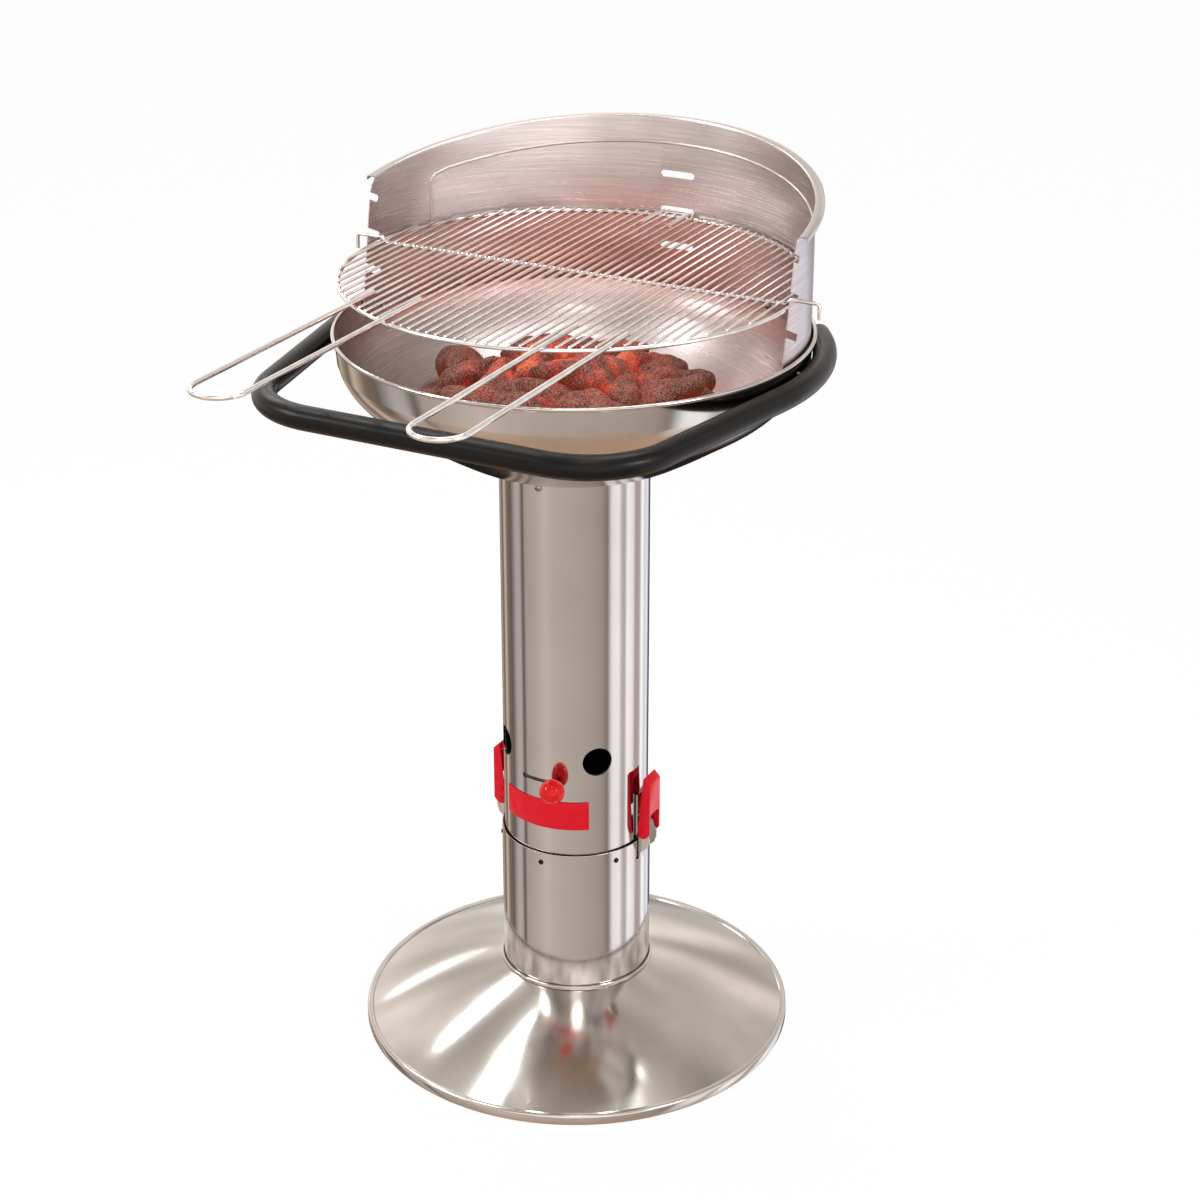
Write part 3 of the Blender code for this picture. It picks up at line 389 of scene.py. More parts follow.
def coated(material, add, colourNoise, shineNoise, reliefNoise):
    (light, dark), (smoothest, roughest), more, relief = coats[material.name]
    ends = [(noiseSpan["From Min"], paint(light)), (noiseSpan["From Max"], paint(dark))]
    tone = add("ValToRGB", {"Fac": colourNoise}, ends)
    span = {**noiseSpan, "To Min": smoothest, "To Max": roughest}
    rough = add("MapRange", {"Value": shineNoise, **span})
    inputs = {"Base Color": tone, "Roughness": rough, **more}
    if relief:
        inputs["Normal"] = add("Bump", {"Height": reliefNoise, **relief})
    surface = add("BsdfPrincipled", inputs)
    add("OutputMaterial", {"Surface": surface})
    return material


def grained(name, **grain):
    # one noise makes colour, shine and relief uneven
    material, add, place = startMaterial(name)
    noise = add("TexNoise", {"Vector": place, **grain})
    return coated(material, add, noise, noise, noise)


def rolledSheet():
    material, add, place = startMaterial("polishedStainless")
    along = add("Mapping", {"Vector": place, "Scale": (700, 700, 5)})  # about 1.5 mm apart
    rollLines = add("TexNoise", {"Vector": along, "Scale": 1.0, "Detail": 3.0})
    cloud = add("TexNoise", {"Vector": place, "Scale": 9.0})
    return coated(material, add, cloud, rollLines, rollLines)


def spunSheet():
    material, add, place = startMaterial("satinStainless")
    flat = add("VectorMath", {0: place, 1: (1, 1, 0)}, operation="MULTIPLY")
    radius = add("VectorMath", {0: flat}, operation="LENGTH")
    across = add("CombineXYZ", {"X": radius})
    rings = add("TexNoise", {"Vector": across, "Scale": 900.0, "Detail": 3.0})  # about 1 mm
    cloud = add("TexNoise", {"Vector": place, "Scale": 14.0})
    return coated(material, add, cloud, cloud, rings)


def brushedSheet():
    material, add, place = startMaterial("brushedStainless")
    flat = add("VectorMath", {0: place, 1: (1, 1, 0)}, operation="MULTIPLY")
    radius = add("VectorMath", {0: flat}, operation="LENGTH")
    heading = add("VectorMath", {0: flat}, operation="NORMALIZE")
    turns = add("VectorMath", {0: heading, 1: (3, 3, 0)}, operation="MULTIPLY")
    # brush marks are 0.1 mm wide on the real sheet and about 1 mm here, so that they show
    rise = add("VectorMath", {0: place, 1: (0, 0, 700)}, operation="MULTIPLY")
    where = add("VectorMath", {0: turns, 1: rise}, operation="ADD")
    reach = add("Math", {0: radius, 1: 700.0}, operation="MULTIPLY")
    strokes = {"Vector": where, "W": reach, "Scale": 1.0, "Detail": 4.0, "Roughness": 0.65}
    marks = add("TexNoise", strokes, noise_dimensions="4D")
    return coated(material, add, marks, marks, marks)


def powderCoat():
    material, add, place = startMaterial("blackPowderCoat")
    peel = add("TexNoise", {"Vector": place, "Scale": 520.0})  # about 2 mm
    wear = add("TexNoise", {"Vector": place, "Scale": 30.0, "Detail": 3.0})
    return coated(material, add, wear, wear, peel)


def burningCharcoal(settings):
    # Charcoal alight: red-brown lumps peppered with grey ash, with a painted warm glow on their undersides,
    # glowing in the middle
    material, add, place = startMaterial("burningCharcoal")
    ash = add("TexNoise", {"Vector": place, "Scale": 620.0, "Detail": 2.0, "Roughness": 0.7})
    burn = add("TexNoise", {"Vector": place, "Scale": 55.0, "Detail": 4.0, "Roughness": 0.6})
    earth = [(0.3, paint("#5e2a1a")), (0.5, paint("#8c4430")), (0.68, paint("#a0644e"))]
    ground = add("ValToRGB", {"Fac": burn}, earth)
    facing = add("NewGeometry").outputs["Normal"]
    upwards = add("SeparateXYZ", {"Vector": facing}).outputs["Z"]
    under = add("MapRange", {"Value": upwards, "From Min": 0.35, "From Max": -0.35})
    # undersides turn orange-brown: painted warm light from the embers below
    underGlowTint = add("Mix", {0: under, 6: ground, 7: paint("#8e4210")}, data_type="RGBA")
    # ash specks of 1 to 2 mm lie on what faces up
    dust = add("MapRange", {"Value": ash, "From Min": 0.53, "From Max": 0.62})
    lying = add("MapRange", {"Value": upwards, "From Min": -0.3, "From Max": 0.7, "To Min": 0.15})
    share = add("Math", {0: dust, 1: lying}, operation="MULTIPLY")
    dusty = add("Mix", {0: share, 6: underGlowTint, 7: paint("#94857e")}, data_type="RGBA")
    pits = add("MapRange", {"Value": ash, "From Min": 0.48, "From Max": 0.38})
    colour = add("Mix", {0: pits, 6: dusty, 7: paint("#34180f")}, data_type="RGBA")
    bump = add("Bump", {"Height": ash, "Strength": 0.7, "Distance": 0.0010})

    offset = add("VectorMath", {0: place, 1: settings["glowMiddle"]}, operation="SUBTRACT")
    away = add("VectorMath", {0: offset}, operation="LENGTH")
    reach = {"From Min": settings["glowFar"], "From Max": settings["glowNear"]}
    near = add("MapRange", {"Value": away, **reach})
    patches = add("TexNoise", {"Vector": place, "Scale": 38.0, "Detail": 3.0, "Roughness": 0.6})
    glow = add("MapRange", {"Value": patches, "From Min": 0.38, "From Max": 0.62})
    embers = add("Math", {0: near, 1: glow}, operation="MULTIPLY")
    # undersides are lit by the embers below them
    fromBelow = add("Math", {0: under, 1: settings["glowBelow"]}, operation="MULTIPLY")
    both = add("Math", {0: embers, 1: fromBelow}, operation="MAXIMUM")
    fire = [(0.0, paint("#7c1408")), (0.5, paint("#e0301a")), (1.0, paint("#ff7a35"))]
    heat = add("ValToRGB", {"Fac": both}, fire)
    power = add("Math", {0: both, 1: settings["glowPower"]}, operation="MULTIPLY")
    coal = {"Base Color": colour, "Roughness": 0.85, "Normal": bump}
    coal.update({"Emission Color": heat, "Emission Strength": power})
    surface = add("BsdfPrincipled", coal)
    add("OutputMaterial", {"Surface": surface})
    return material


# Camera, light and floor

camera = {
    "place": (1.2032, -2.2628, 1.6709),
    "forward": (-0.4193, 0.8088, -0.4123),
    "lens": 78.23,
    "sensor": 36.0,
}


def addCamera():
    lean = Vector(camera["forward"]).to_track_quat("-Z", "Y").to_euler()
    view = added("camera", bpy.ops.object.camera_add, location=camera["place"], rotation=lean)
    view.data.lens = camera["lens"]
    view.data.sensor_width = camera["sensor"]
    view.data.clip_start = 0.05
    view.data.clip_end = 60
    bpy.context.scene.camera = view
    print("camera at", camera["place"])


# What polished steel sees round about: (bearing in degrees from +X, colour, brightness)
studioWalls = [
    (-180, "#d8ccc0", 0.20),
    (-174, "#efe6e4", 0.38),
    (-166, "#f8f0ee", 0.70),
    (-157, "#f4ece8", 0.76),
    (-150, "#c8beb8", 0.20),
    (-145, "#fff2e8", 0.60),
    (-126, "#fff2e6", 0.71),
    (-109, "#fff0ec", 0.87),
    (-95, "#fff2ea", 0.76),
    (-60, "#fff2e6", 0.68),
    (-36, "#fff0e8", 0.63),
    (-20, "#fff0e8", 0.52),
    (-11, "#f8ece6", 0.34),
    (-3, "#fbfbff", 1.35),
    (9, "#fbfbff", 1.46),
    (15, "#f6f4fa", 0.80),
    (21, "#f4f2f8", 0.74),
    (26, "#fffcff", 1.55),
    (39, "#fff8fa", 1.32),
    (45, "#fff0f2", 0.62),
    (56, "#fff2f4", 0.66),
    (64, "#ffffff", 1.65),
    (75, "#eef0ff", 1.05),
    (85, "#f0f3ff", 1.40),
    (92, "#d8dcec", 0.70),
    (98, "#a8a4a8", 0.24),
    (105, "#706a68", 0.11),  # what lies behind the part gives every rounded edge its dark outline
    (128, "#6a6058", 0.11),
    (136, "#ffe8d3", 0.60),
    (152, "#c8a890", 0.36),
    (159, "#ffecdc", 0.85),
    (171, "#c8b09c", 0.46),
]

# The same for what lies above the horizon, and the floor close by
studioDome = [
    (-180, "#fff8f2", 1.05),
    (-100, "#fff6ee", 1.10),
    (-62, "#fffaf4", 1.65),
    (-20, "#fffaf6", 1.15),
    (60, "#fff8f2", 0.95),
    (90, "#fff6ee", 0.88),
    (118, "#fffaf4", 1.08),
    (135, "#fff8f0", 1.02),
    (180, "#fff8f2", 1.05),
]
floorNear = "#f2cdb0"

studio = {
    "brightest": 2.0,
    "floorLevel": 0.75,
    "plainLevel": 0.72,
    "floorSize": 40.0,
    "floorSelfLit": 0.94,
    "cloudScale": 3.2,
    "clouds": {"From Min": 0.35, "From Max": 0.65, "To Min": 0.62, "To Max": 1.30},
    "overhead": {"From Min": 0.45, "From Max": 0.80, "To Min": 1.0, "To Max": 0.70},
    "domeRise": {"From Min": -0.32, "From Max": -0.18},
    "floorSink": {"From Min": -0.62, "From Max": -0.85},
}


def bearingStops(walls):
    stops = []
    for bearing, hexCode, level in walls:
        stops.append(((bearing + 180) / 360, paint(hexCode, level / studio["brightest"])))
    return stops


def addWorld():
    world = bpy.data.worlds.new("studio")
    bpy.context.scene.world = world
    add = emptyTree(world)
    rays = add("LightPath").outputs
    way = add("TexCoord").outputs["Generated"]
    split = add("SeparateXYZ", {"Vector": way})
    height = split.outputs["Z"]
    angle = add("Math", {0: split.outputs["Y"], 1: split.outputs["X"]}, operation="ARCTAN2")
    bearing = add("MapRange", {"Value": angle, "From Min": -pi, "From Max": pi})
    low = add("ValToRGB", {"Fac": bearing}, bearingStops(studioWalls))
    high = add("ValToRGB", {"Fac": bearing}, bearingStops(studioDome))
    cloud = add("TexNoise", {"Vector": way, "Scale": studio["cloudScale"], "Detail": 1.0})
    patch = add("MapRange", {"Value": cloud, **studio["clouds"]})
    overhead = add("MapRange", {"Value": height, **studio["overhead"]})
    share = add("Math", {0: patch, 1: overhead}, operation="MULTIPLY")
    cloudy = add("VectorMath", {0: high, 3: share}, operation="SCALE")
    rise = add("MapRange", {"Value": height, **studio["domeRise"]})
    sink = add("MapRange", {"Value": height, **studio["floorSink"]})
    ground = paint(floorNear, studio["floorLevel"] / studio["brightest"])
    above = add("Mix", {0: rise, 6: low, 7: cloudy}, data_type="RGBA")
    both = add("Mix", {0: sink, 6: above, 7: ground}, data_type="RGBA")
    walls = add("Background", {"Color": both, "Strength": studio["brightest"]})
    plain = add("Background", {"Color": (1, 1, 1, 1), "Strength": studio["plainLevel"]})
    white = add("Background", {"Color": (1, 1, 1, 1), "Strength": 1.0})
    mirrored = {0: rays["Is Glossy Ray"], 1: rays["Is Transmission Ray"]}
    shiny = add("Math", mirrored, operation="MAXIMUM")
    seen = add("MixShader", {0: shiny, 1: plain, 2: walls})
    shown = add("MixShader", {0: rays["Is Camera Ray"], 1: seen, 2: white})
    add("OutputWorld", {"Surface": shown})
    print("world: plain light, and studio walls for what is shiny")


def addFloor():
    sheet = {"size": studio["floorSize"], "location": (0, 0, 0)}
    floor = added("studioFloor", bpy.ops.mesh.primitive_plane_add, **sheet)
    floor.visible_glossy = False  # shiny parts see the studio's walls through it
    material = bpy.data.materials.new("palePaper")
    add = emptyTree(material)
    rays = add("LightPath").outputs
    matt = add("BsdfDiffuse", {"Color": paint("#f2f1ef")})
    lit = add("Emission", {"Color": (1, 1, 1, 1), "Strength": 1.0})
    selfLit = {0: rays["Is Camera Ray"], 1: studio["floorSelfLit"]}
    share = add("Math", selfLit, operation="MULTIPLY")
    both = add("MixShader", {0: share, 1: matt, 2: lit})
    add("OutputMaterial", {"Surface": both})
    floor.data.materials.append(material)


# Soft boxes: place, what they are aimed at, size of the ellipse and watts
lamps = {
    "backLeftBox": ((-1.45, 0.66, 1.85), (-0.1, 0, 0.05), (1.00, 0.22), 5.0),
    "highLeftBox": ((-0.89, -0.09, 2.25), (-0.1, -0.2, 0.03), (1.00, 0.26), 6.0),
    "highBackBox": ((0.15, 0.62, 2.33), (0.05, -0.15, 0.04), (0.70, 0.20), 3.0),
    "collarBox": ((-0.64, 0.48, 2.29), (-0.05, -0.1, 0.05), (0.45, 0.20), 1.2),
    "farLeftBox": ((-1.96, 1.26, 0.86), (-0.15, 0, 0.05), (0.60, 0.20), 0.4),
    "frontTopBox": ((0.44, -0.83, 2.70), (0, 0, 0.3), (0.50, 0.30), 3.0),
    "frontLeftBox": ((-1.7, -1.5, 1.9), (0, 0, 0.45), (1.00, 0.35), 15.0),
    "rightBox": ((2.0, -0.5, 1.6), (0, 0, 0.6), (0.80, 0.28), 11.0),
    "topBox": ((0.1, 0.3, 3.0), (0, 0, 0.6), (1.20, 1.20), 10.0),
}


def addLamps():
    for name, (place, aim, size, watts) in lamps.items():
        lean = (Vector(aim) - Vector(place)).to_track_quat("-Z", "Y").to_euler()
        light = added(name, bpy.ops.object.light_add, type="AREA", location=place, rotation=lean)
        light.data.shape = "ELLIPSE"
        light.data.size, light.data.size_y = size
        light.data.energy = watts
        light.visible_camera = False
    print("lamps:", ", ".join(lamps))


addCamera()
addWorld()
addFloor()
addLamps()

polished = rolledSheet()
satin = spunSheet()
brushed = brushedSheet()
chrome = grained("chromedWire", Scale=60.0)
zinc = grained("zincPlatedSteel", Scale=900.0)
darkRivet = grained("phosphatedSteel", Scale=900.0)
# dark steel for the insides: soot, and painted shade where little light gets in
smokeAndShade = grained("smokedShadedSteel", Scale=260.0, Detail=4.0, Roughness=0.6)
burntIron = grained("burntIron", Scale=160.0, Detail=4.0, Roughness=0.6)
blackCoat = powderCoat()
enamel = grained("redEnamel", Scale=70.0)
phenolic = grained("redPhenolic", Scale=220.0, Detail=3.0)

# CAD nodes that stay, with a finish of their own
keptNodes = {
    "vent_ring": smokeAndShade,
    "column_ledge": polished,
    "fire_grate": burntIron,
    "latch_plate_right": polished,
    "latch_plate_left": polished,
    "vent_rod": chrome,
}
for nodeName, material in keptNodes.items():
    dress(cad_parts[nodeName], material)
print("kept nodes:", len(keptNodes))


# Foot

foot = {
    "neckRadius": 0.0833,
    "neckLow": 0.0485,
    "neckTop": 0.0705,
    "neckRound": 0.0004,
    "sheet": 0.0012,
    "radius": 0.2413,
    "rimWidth": 0.0068,
    "rimHeight": 0.0120,
    "rimRound": 0.0030,
    "crease": 0.0012,
    "bulge": 0.0030,
    "rows": 14,
    "hem": 0.0045,
    "hemCorner": ((0, 0.0012), (0.0004, 0.0003), (0.0012, 0)),
    "steps": 192,
    "collarLow": 0.0708,
    "collarHigh": 0.0748,
    "collarWidth": 0.0027,
    "collarRound": 0.0008,
}


def makeFoot():
    neck = foot["neckRadius"]
    top = foot["neckTop"]
    rimIn = foot["radius"] - foot["rimWidth"]
    curl = foot["rimRound"]
    section = [(neck, foot["neckLow"]), (neck, top - foot["sheet"])]
    section += [(neck + foot["neckRound"], top - foot["neckRound"]), (neck + foot["sheet"], top)]
    # the cone is pressed a little round, so that what it mirrors stays small
    first = Vector(section[-1])
    last = Vector((rimIn, foot["rimHeight"] - foot["crease"]))
    outwards = Vector((first.y - last.y, last.x - first.x)).normalized()
    for row in range(1, foot["rows"] + 1):
        share = row / foot["rows"]
        place = first.lerp(last, share) + outwards * (4 * foot["bulge"] * share * (1 - share))
        section.append(tuple(place))
    section += [(rimIn + foot["crease"], foot["rimHeight"])]
    section += arc((foot["radius"] - curl, foot["rimHeight"] - curl), curl, 90, 0, 8)
    section += [(foot["radius"] - inwards, up) for inwards, up in foot["hemCorner"]]
    section += [(foot["radius"] - foot["hem"], 0)]
    piece = turned("footCone", section, foot["steps"])
    dress(piece, satin)
    giveWall(piece, foot["sheet"])
    handOver(piece, "stand", "polished_steel", "foot_plate")

    outer = neck + foot["collarWidth"]
    low, high, curl = foot["collarLow"], foot["collarHigh"], foot["collarRound"]
    section = [(neck, low)] + arc((neck + curl, high - curl), curl, 180, 90, 4)
    section += arc((outer - curl, high - curl), curl, 90, 0, 4) + [(outer, low), (neck, low)]
    piece = turned("footCollar", section, foot["steps"])
    dress(piece, polished)
    handOver(piece, "stand", "polished_steel", "foot_collar")
    print("foot and collar")


makeFoot()


# Ash container and column

column = {
    "radius": 0.080,
    "sheet": 0.001,
    "bottom": 0.2253,
    "top": 0.676,
    "rows": (0.30, 0.322, 0.336, 0.376, 0.40, 0.55, 0.66),
    "steps": 288,
    "ventHeight": 0.354,
    "ventRadius": 0.0165,
    "ventBearings": (45, 135),
    "slotHeight": 0.329,
    "slotHalfWidth": 0.0215,
    "slotOpening": 0.0042,
    "slotEndRadius": 0.0034,
    "containerRadius": 0.0827,
    "containerTop": 0.2407,
    "containerCorner": ((0.002, 0), (0.0006, 0.0006), (0, 0.002)),
    "containerRow": 0.2,
    "containerEdge": (0.0003, 0.0002),
    "edgeDepth": 0.0004,
    "cutReach": 0.1,
    "catchTop": 0.2208,
    "catchOpening": 0.0038,
    "catchHalfWidth": 0.0125,
}


def makeContainer():
    radius = column["containerRadius"]
    top = column["containerTop"]
    drop, inwards = column["containerEdge"]
    section = [(0, 0)] + [(radius - across, up) for across, up in column["containerCorner"]]
    section += [(radius, column["containerRow"]), (radius, top - drop), (radius - inwards, top)]
    piece = turned("ashContainer", section, column["steps"])
    dress(piece, polished, smokeAndShade, brushed)
    giveWall(piece, column["sheet"], insideSlot=1)
    # the cut edge is not polished
    coverFaces(piece, 2, lambda place, facing: place.z > top - column["edgeDepth"])
    half = column["catchHalfWidth"]
    low = column["catchTop"] - column["catchOpening"]
    reach = column["cutReach"]
    slot = block("catchSlots", (-reach, -half, low), (reach, half, column["catchTop"]))
    combine(piece, "DIFFERENCE", slot)
    handOver(piece, "stand", "polished_steel", "ash_container", smoothAngle=20)


def makeColumn():
    radius = column["radius"]
    heights = [column["bottom"], *column["rows"], column["top"]]
    piece = turned("columnTube", [(radius, height) for height in heights], column["steps"])
    dress(piece, polished, smokeAndShade)
    giveWall(piece, column["sheet"], insideSlot=1)
    reach = column["cutReach"]
    cutters = []
    for bearing in column["ventBearings"]:
        start = around(reach, bearing, column["ventHeight"])
        end = around(reach, bearing + 180, column["ventHeight"])
        cutters.append(rodBetween("vent", start, end, column["ventRadius"], 64))
    half, height = column["slotHalfWidth"], column["slotHeight"]
    opening = column["slotOpening"] / 2
    cutters.append(block("slot", (-half, -reach, height - opening), (half, -reach / 2, height + opening)))
    first, last = (-half, -reach, height), (-half, -reach / 2, height)
    cutters.append(rodBetween("slotEnd", first, last, column["slotEndRadius"], 32))
    combine(piece, "DIFFERENCE", *cutters)
    handOver(piece, "stand", "polished_steel", "column_tube")
    print("container and column")


makeContainer()
makeColumn()


# Front plate and knob

frontPlate = {
    "radius": 0.0812,
    "low": 0.2725,
    "height": 0.0335,
    "halfSweep": 38,
    "sheet": 0.0008,
    "edge": 0.00025,
    "steps": 60,
}

knob = {
    "bearing": -77,
    "reach": 0.100,
    "height": 0.329,
    "radius": 0.0138,
    "boreRadius": 0.0021,
    "boreDepth": 0.006,
    "neckRadius": 0.0048,
    "neckRound": 0.0004,
    "neckReach": 0.0136,
}


def makeFrontPlate():
    low, high = frontPlate["low"], frontPlate["low"] + frontPlate["height"]
    section = [(frontPlate["radius"], height) for height in (low, (low + high) / 2, high)]
    start = -90 - frontPlate["halfSweep"]
    piece = turned("frontPlate", section, frontPlate["steps"], start, 2 * frontPlate["halfSweep"])
    dress(piece, enamel)
    giveWall(piece, frontPlate["sheet"])
    softenEdges(piece, frontPlate["edge"], 2, 50)
    handOver(piece, "stand", "red_paint", "front_plate")


def makeKnob():
    # drawn from the bore out over the neck and round the ball, and spun about the rod
    outwards = around(1, knob["bearing"], 0)
    middle = around(knob["reach"], knob["bearing"], knob["height"])
    radius = knob["radius"]
    neck = knob["neckRadius"]
    meet = degrees(acos(neck / radius))
    bore, reach, curl = knob["boreRadius"], knob["neckReach"], knob["neckRound"]
    section = [(bore, knob["boreDepth"] - radius), (bore, -reach)]
    section += [(neck - curl, -reach), (neck, curl - reach)]
    section += arc((0, 0), radius, -meet, 90, 28)
    piece = turned("ventKnob", section, 48, origin=middle, axis=outwards, side=zAxis)
    dress(piece, phenolic)
    handOver(piece, "vent", "red_plastic", "vent_knob")
    print("front plate and knob")


makeFrontPlate()
makeKnob()


# Screws, bolts and rivets: each kind is modelled once, pointing along +X, and copied

# Kind: radius and rise of the head, radius and length of the shank, width of the cross in the head
fasteners = {
    "columnScrew": (0.0042, 0.0024, 0.0020, 0.0074, 0.0011),
    "rimBolt": (0.0037, 0.0019, 0.0019, 0.0130, 0.0010),
    "rimScrew": (0.0037, 0.0019, 0.0019, 0.0058, 0.0010),
    "footScrew": (0.0034, 0.0017, 0.0018, 0.0034, 0.0009),
    "ledgeRivet": (0.0029, 0.0012, 0.0015, 0.0024, 0),
    "plateRivet": (0.0029, 0.0012, 0.0015, 0.0033, 0),
    "leverPin": (0.0026, 0.0010, 0.0015, 0.0034, 0),
    "clawPin": (0.0024, 0.0009, 0.0015, 0.0264, 0),
}
crossCut = {"depth": 0.0013, "above": 0.001, "reach": 0.55}
finishes = {"leverPin": enamel, "clawPin": enamel, "ledgeRivet": darkRivet}

# Those that stand in a ring: kind, node, distance from the axis, height, way out or in, bearings
rings = (
    ("columnScrew", "column_screw", 0.0803, 0.670, 1, (-90, 30, 150)),
    ("footScrew", "foot_screw", 0.0848, 0.0565, 1, (90, 210, 330)),
    ("ledgeRivet", "ledge_rivet", 0.0830, 0.2286, 1, (-90, -30, 30, 90, 150, 210)),
    ("rimBolt", "rail_bolt", 0.2415, 0.80195, -1, (4.5, 31.5, 175.5, 148.5)),
    ("rimScrew", "windshield_screw", 0.2415, 0.80195, -1, (58.5, 121.5)),
)

# Those of a latch: distances from the column's axis, heights, and half the width they stand apart
latchSeats = {
    "rivetReach": 0.0826,
    "rivetHeights": (0.2582, 0.292),
    "pivotReach": 0.0895,
    "pivotHeight": 0.252,
    "pinReach": 0.0878,
    "pinHeight": 0.265,
    "half": 0.0133,
}


def makeFastener(kind):
    head, rise, shank, length, cross = fasteners[kind]
    nick, edge, steps = 0.0003, 0.0002, 7
    section = [(0, -length), (shank - nick, -length), (shank, nick - length)]
    section += [(shank, 0), (head - edge, 0), (head, edge)]
    for step in range(1, steps + 1):
        turn = radians(90 * step / steps)
        section.append((head * cos(turn) if step < steps else 0, edge + (rise - edge) * sin(turn)))
    piece = turned(kind, section, 24, axis=xAxis, side=zAxis)
    if cross:
        half, reach = cross / 2, head * crossCut["reach"]
        low, high = rise - crossCut["depth"], rise + crossCut["above"]
        first = block("crossUp", (low, -half, -reach), (high, half, reach))
        second = block("crossOver", (low, -reach, -half), (high, reach, half))
        combine(piece, "DIFFERENCE", first, second)
    dress(piece, finishes.get(kind, zinc))
    return piece


def placeFasteners(kind, body, places):
    # places: node name, where the head sits, which way it points
    model = makeFastener(kind)
    for number, (node, seat, facing) in enumerate(places):
        lean = Vector(facing).to_track_quat("X", "Z").to_matrix().to_4x4()
        twin = copyOf(model, f"{kind}_{number + 1}_{body}", Matrix.Translation(seat) @ lean)
        handOver(twin, body, "fastener_steel", node)
    bpy.data.objects.remove(model)


def makeFasteners():
    for kind, node, reach, height, way, bearings in rings:
        places = []
        for number, bearing in enumerate(bearings):
            seat, out = around(reach, bearing, height), around(way, bearing, 0)
            places.append((f"{node}_{number + 1}", seat, out))
        placeFasteners(kind, "stand", places)
    half = latchSeats["half"]
    for side, sideName in ((1, "right"), (-1, "left")):
        places = []
        for number, height in enumerate(latchSeats["rivetHeights"]):
            seat = (side * latchSeats["rivetReach"], 0, height)
            places.append((f"latch_rivet_{sideName}_{number + 1}", seat, (side, 0, 0)))
        placeFasteners("plateRivet", "stand", places)
        places = []
        for number, way in ((1, -side), (2, side)):
            seat = (side * latchSeats["pivotReach"], way * half, latchSeats["pivotHeight"])
            places.append((f"latch_pivot_{sideName}_{number}", seat, (0, way, 0)))
        placeFasteners("leverPin", "stand", places)
        seat = (side * latchSeats["pinReach"], side * half, latchSeats["pinHeight"])
        placeFasteners("clawPin", f"lever_{sideName}", [(f"latch_claw_pin_{sideName}", seat, (0, side, 0))])
    print("screws and rivets")


makeFasteners()


# Toggle latches, drawn at the right-hand side and turned about the column for the left

latch = {
    "pivot": (0.0895, 0, 0.252),
    "width": 0.026,
    "sheet": 0.0015,
    "length": 0.0690,
    "faceOut": 0.0083,
    "slant": ((0, -0.0068), (-0.0068, 0), (-0.0080, -0.0008)),  # from the top of the face
    "back": ((-0.0049, 0.0162), (-0.0060, 0.008)),
    "hollowOut": 0.0068,
    "hollowTop": 0.0600,
    "archIn": 0.001,
    "beyond": 0.05,
    "footRadius": 0.0065,
    "archHalf": 0.0106,
    "archTop": 0.024,  # so high that the claw clears it when the lever is open
    "archRound": 0.005,
    "edge": 0.00048,
    "clawEdge": 0.0004,
    "clawWidth": 0.0192,
    "clawPin": (-0.0017, 0.013),
    "barrel": 0.0032,
    "stripIn": -0.0065,
    "stripSheet": 0.0016,
    "hookTop": -0.0315,
    "hookSheet": 0.002,
    "hookIn": -0.0090,
    "flange": (
        (-0.0065, 0.0100), (0.0022, 0.0090), (0.0040, 0.0020), (0.0064, -0.0050), (0.0066, -0.0110),
        (0.0040, -0.0190), (-0.0035, -0.0255), (-0.0065, -0.0255),
    ),
    "flangeSheet": 0.0014,
}


def sideOutline(points, halfWidth):
    pivot = Vector(latch["pivot"])
    return [pivot + Vector((across, -halfWidth, up)) for across, up in points]


def makeLever(sideName, turn):
    face, length, half = latch["faceOut"], latch["length"], latch["width"] / 2
    outline = arc((0, 0), latch["footRadius"], 180, 330, 16) + [(face, 0)]
    # the top is cut off at a slant that looks up and outwards
    outline += [(face + across, length + up) for across, up in latch["slant"]]
    outline += latch["back"]
    piece = plateOf(f"latchLever_{sideName}", sideOutline(outline, half), (0, latch["width"], 0))
    pivot = Vector(latch["pivot"])
    inside, beyond = half - latch["sheet"], latch["beyond"]
    corner = Vector((latch["hollowOut"], inside, latch["hollowTop"]))
    hollow = block("hollow", pivot + Vector((-beyond, -inside, -beyond)), pivot + corner)
    archHalf, top, curl = latch["archHalf"], latch["archTop"], latch["archRound"]
    shape = [(-archHalf, -beyond)] + arc((-archHalf + curl, top - curl), curl, 180, 90, 6)
    shape += arc((archHalf - curl, top - curl), curl, 90, 0, 6) + [(archHalf, -beyond)]
    shape = [pivot + Vector((latch["archIn"], across, up)) for across, up in shape]
    arch = plateOf("arch", shape, (beyond, 0, 0))
    combine(piece, "DIFFERENCE", hollow, arch)
    softenEdges(piece, latch["edge"], 3, 30)
    piece.matrix_world = turn @ piece.matrix_world
    dress(piece, enamel)
    handOver(piece, f"lever_{sideName}", "red_paint", f"latch_lever_{sideName}")


def makeClaw(sideName, turn):
    pin, barrel, width = latch["clawPin"], latch["barrel"], latch["clawWidth"]
    stripIn, hookTop = latch["stripIn"], latch["hookTop"]
    stripOut = stripIn + latch["stripSheet"]
    hookIn, hookLow = latch["hookIn"], hookTop - latch["hookSheet"]
    outline = arc(pin, barrel, -50, 230, 20)
    outline += [(stripIn, hookTop), (hookIn, hookTop), (hookIn, hookLow), (stripOut, hookLow)]
    piece = plateOf(f"latchClaw_{sideName}", sideOutline(outline, width / 2), (0, width, 0))
    # the strip's edges turn outwards as two stiffening flanges
    sheet = latch["flangeSheet"]
    for start in (width / 2, sheet - width / 2):
        flange = plateOf("flange", sideOutline(latch["flange"], start), (0, sheet, 0))
        combine(piece, "UNION", flange)
    softenEdges(piece, latch["clawEdge"], 2, 30)
    piece.matrix_world = turn @ piece.matrix_world
    dress(piece, polished)
    handOver(piece, f"claw_{sideName}", "chromed_wire", f"latch_claw_{sideName}")


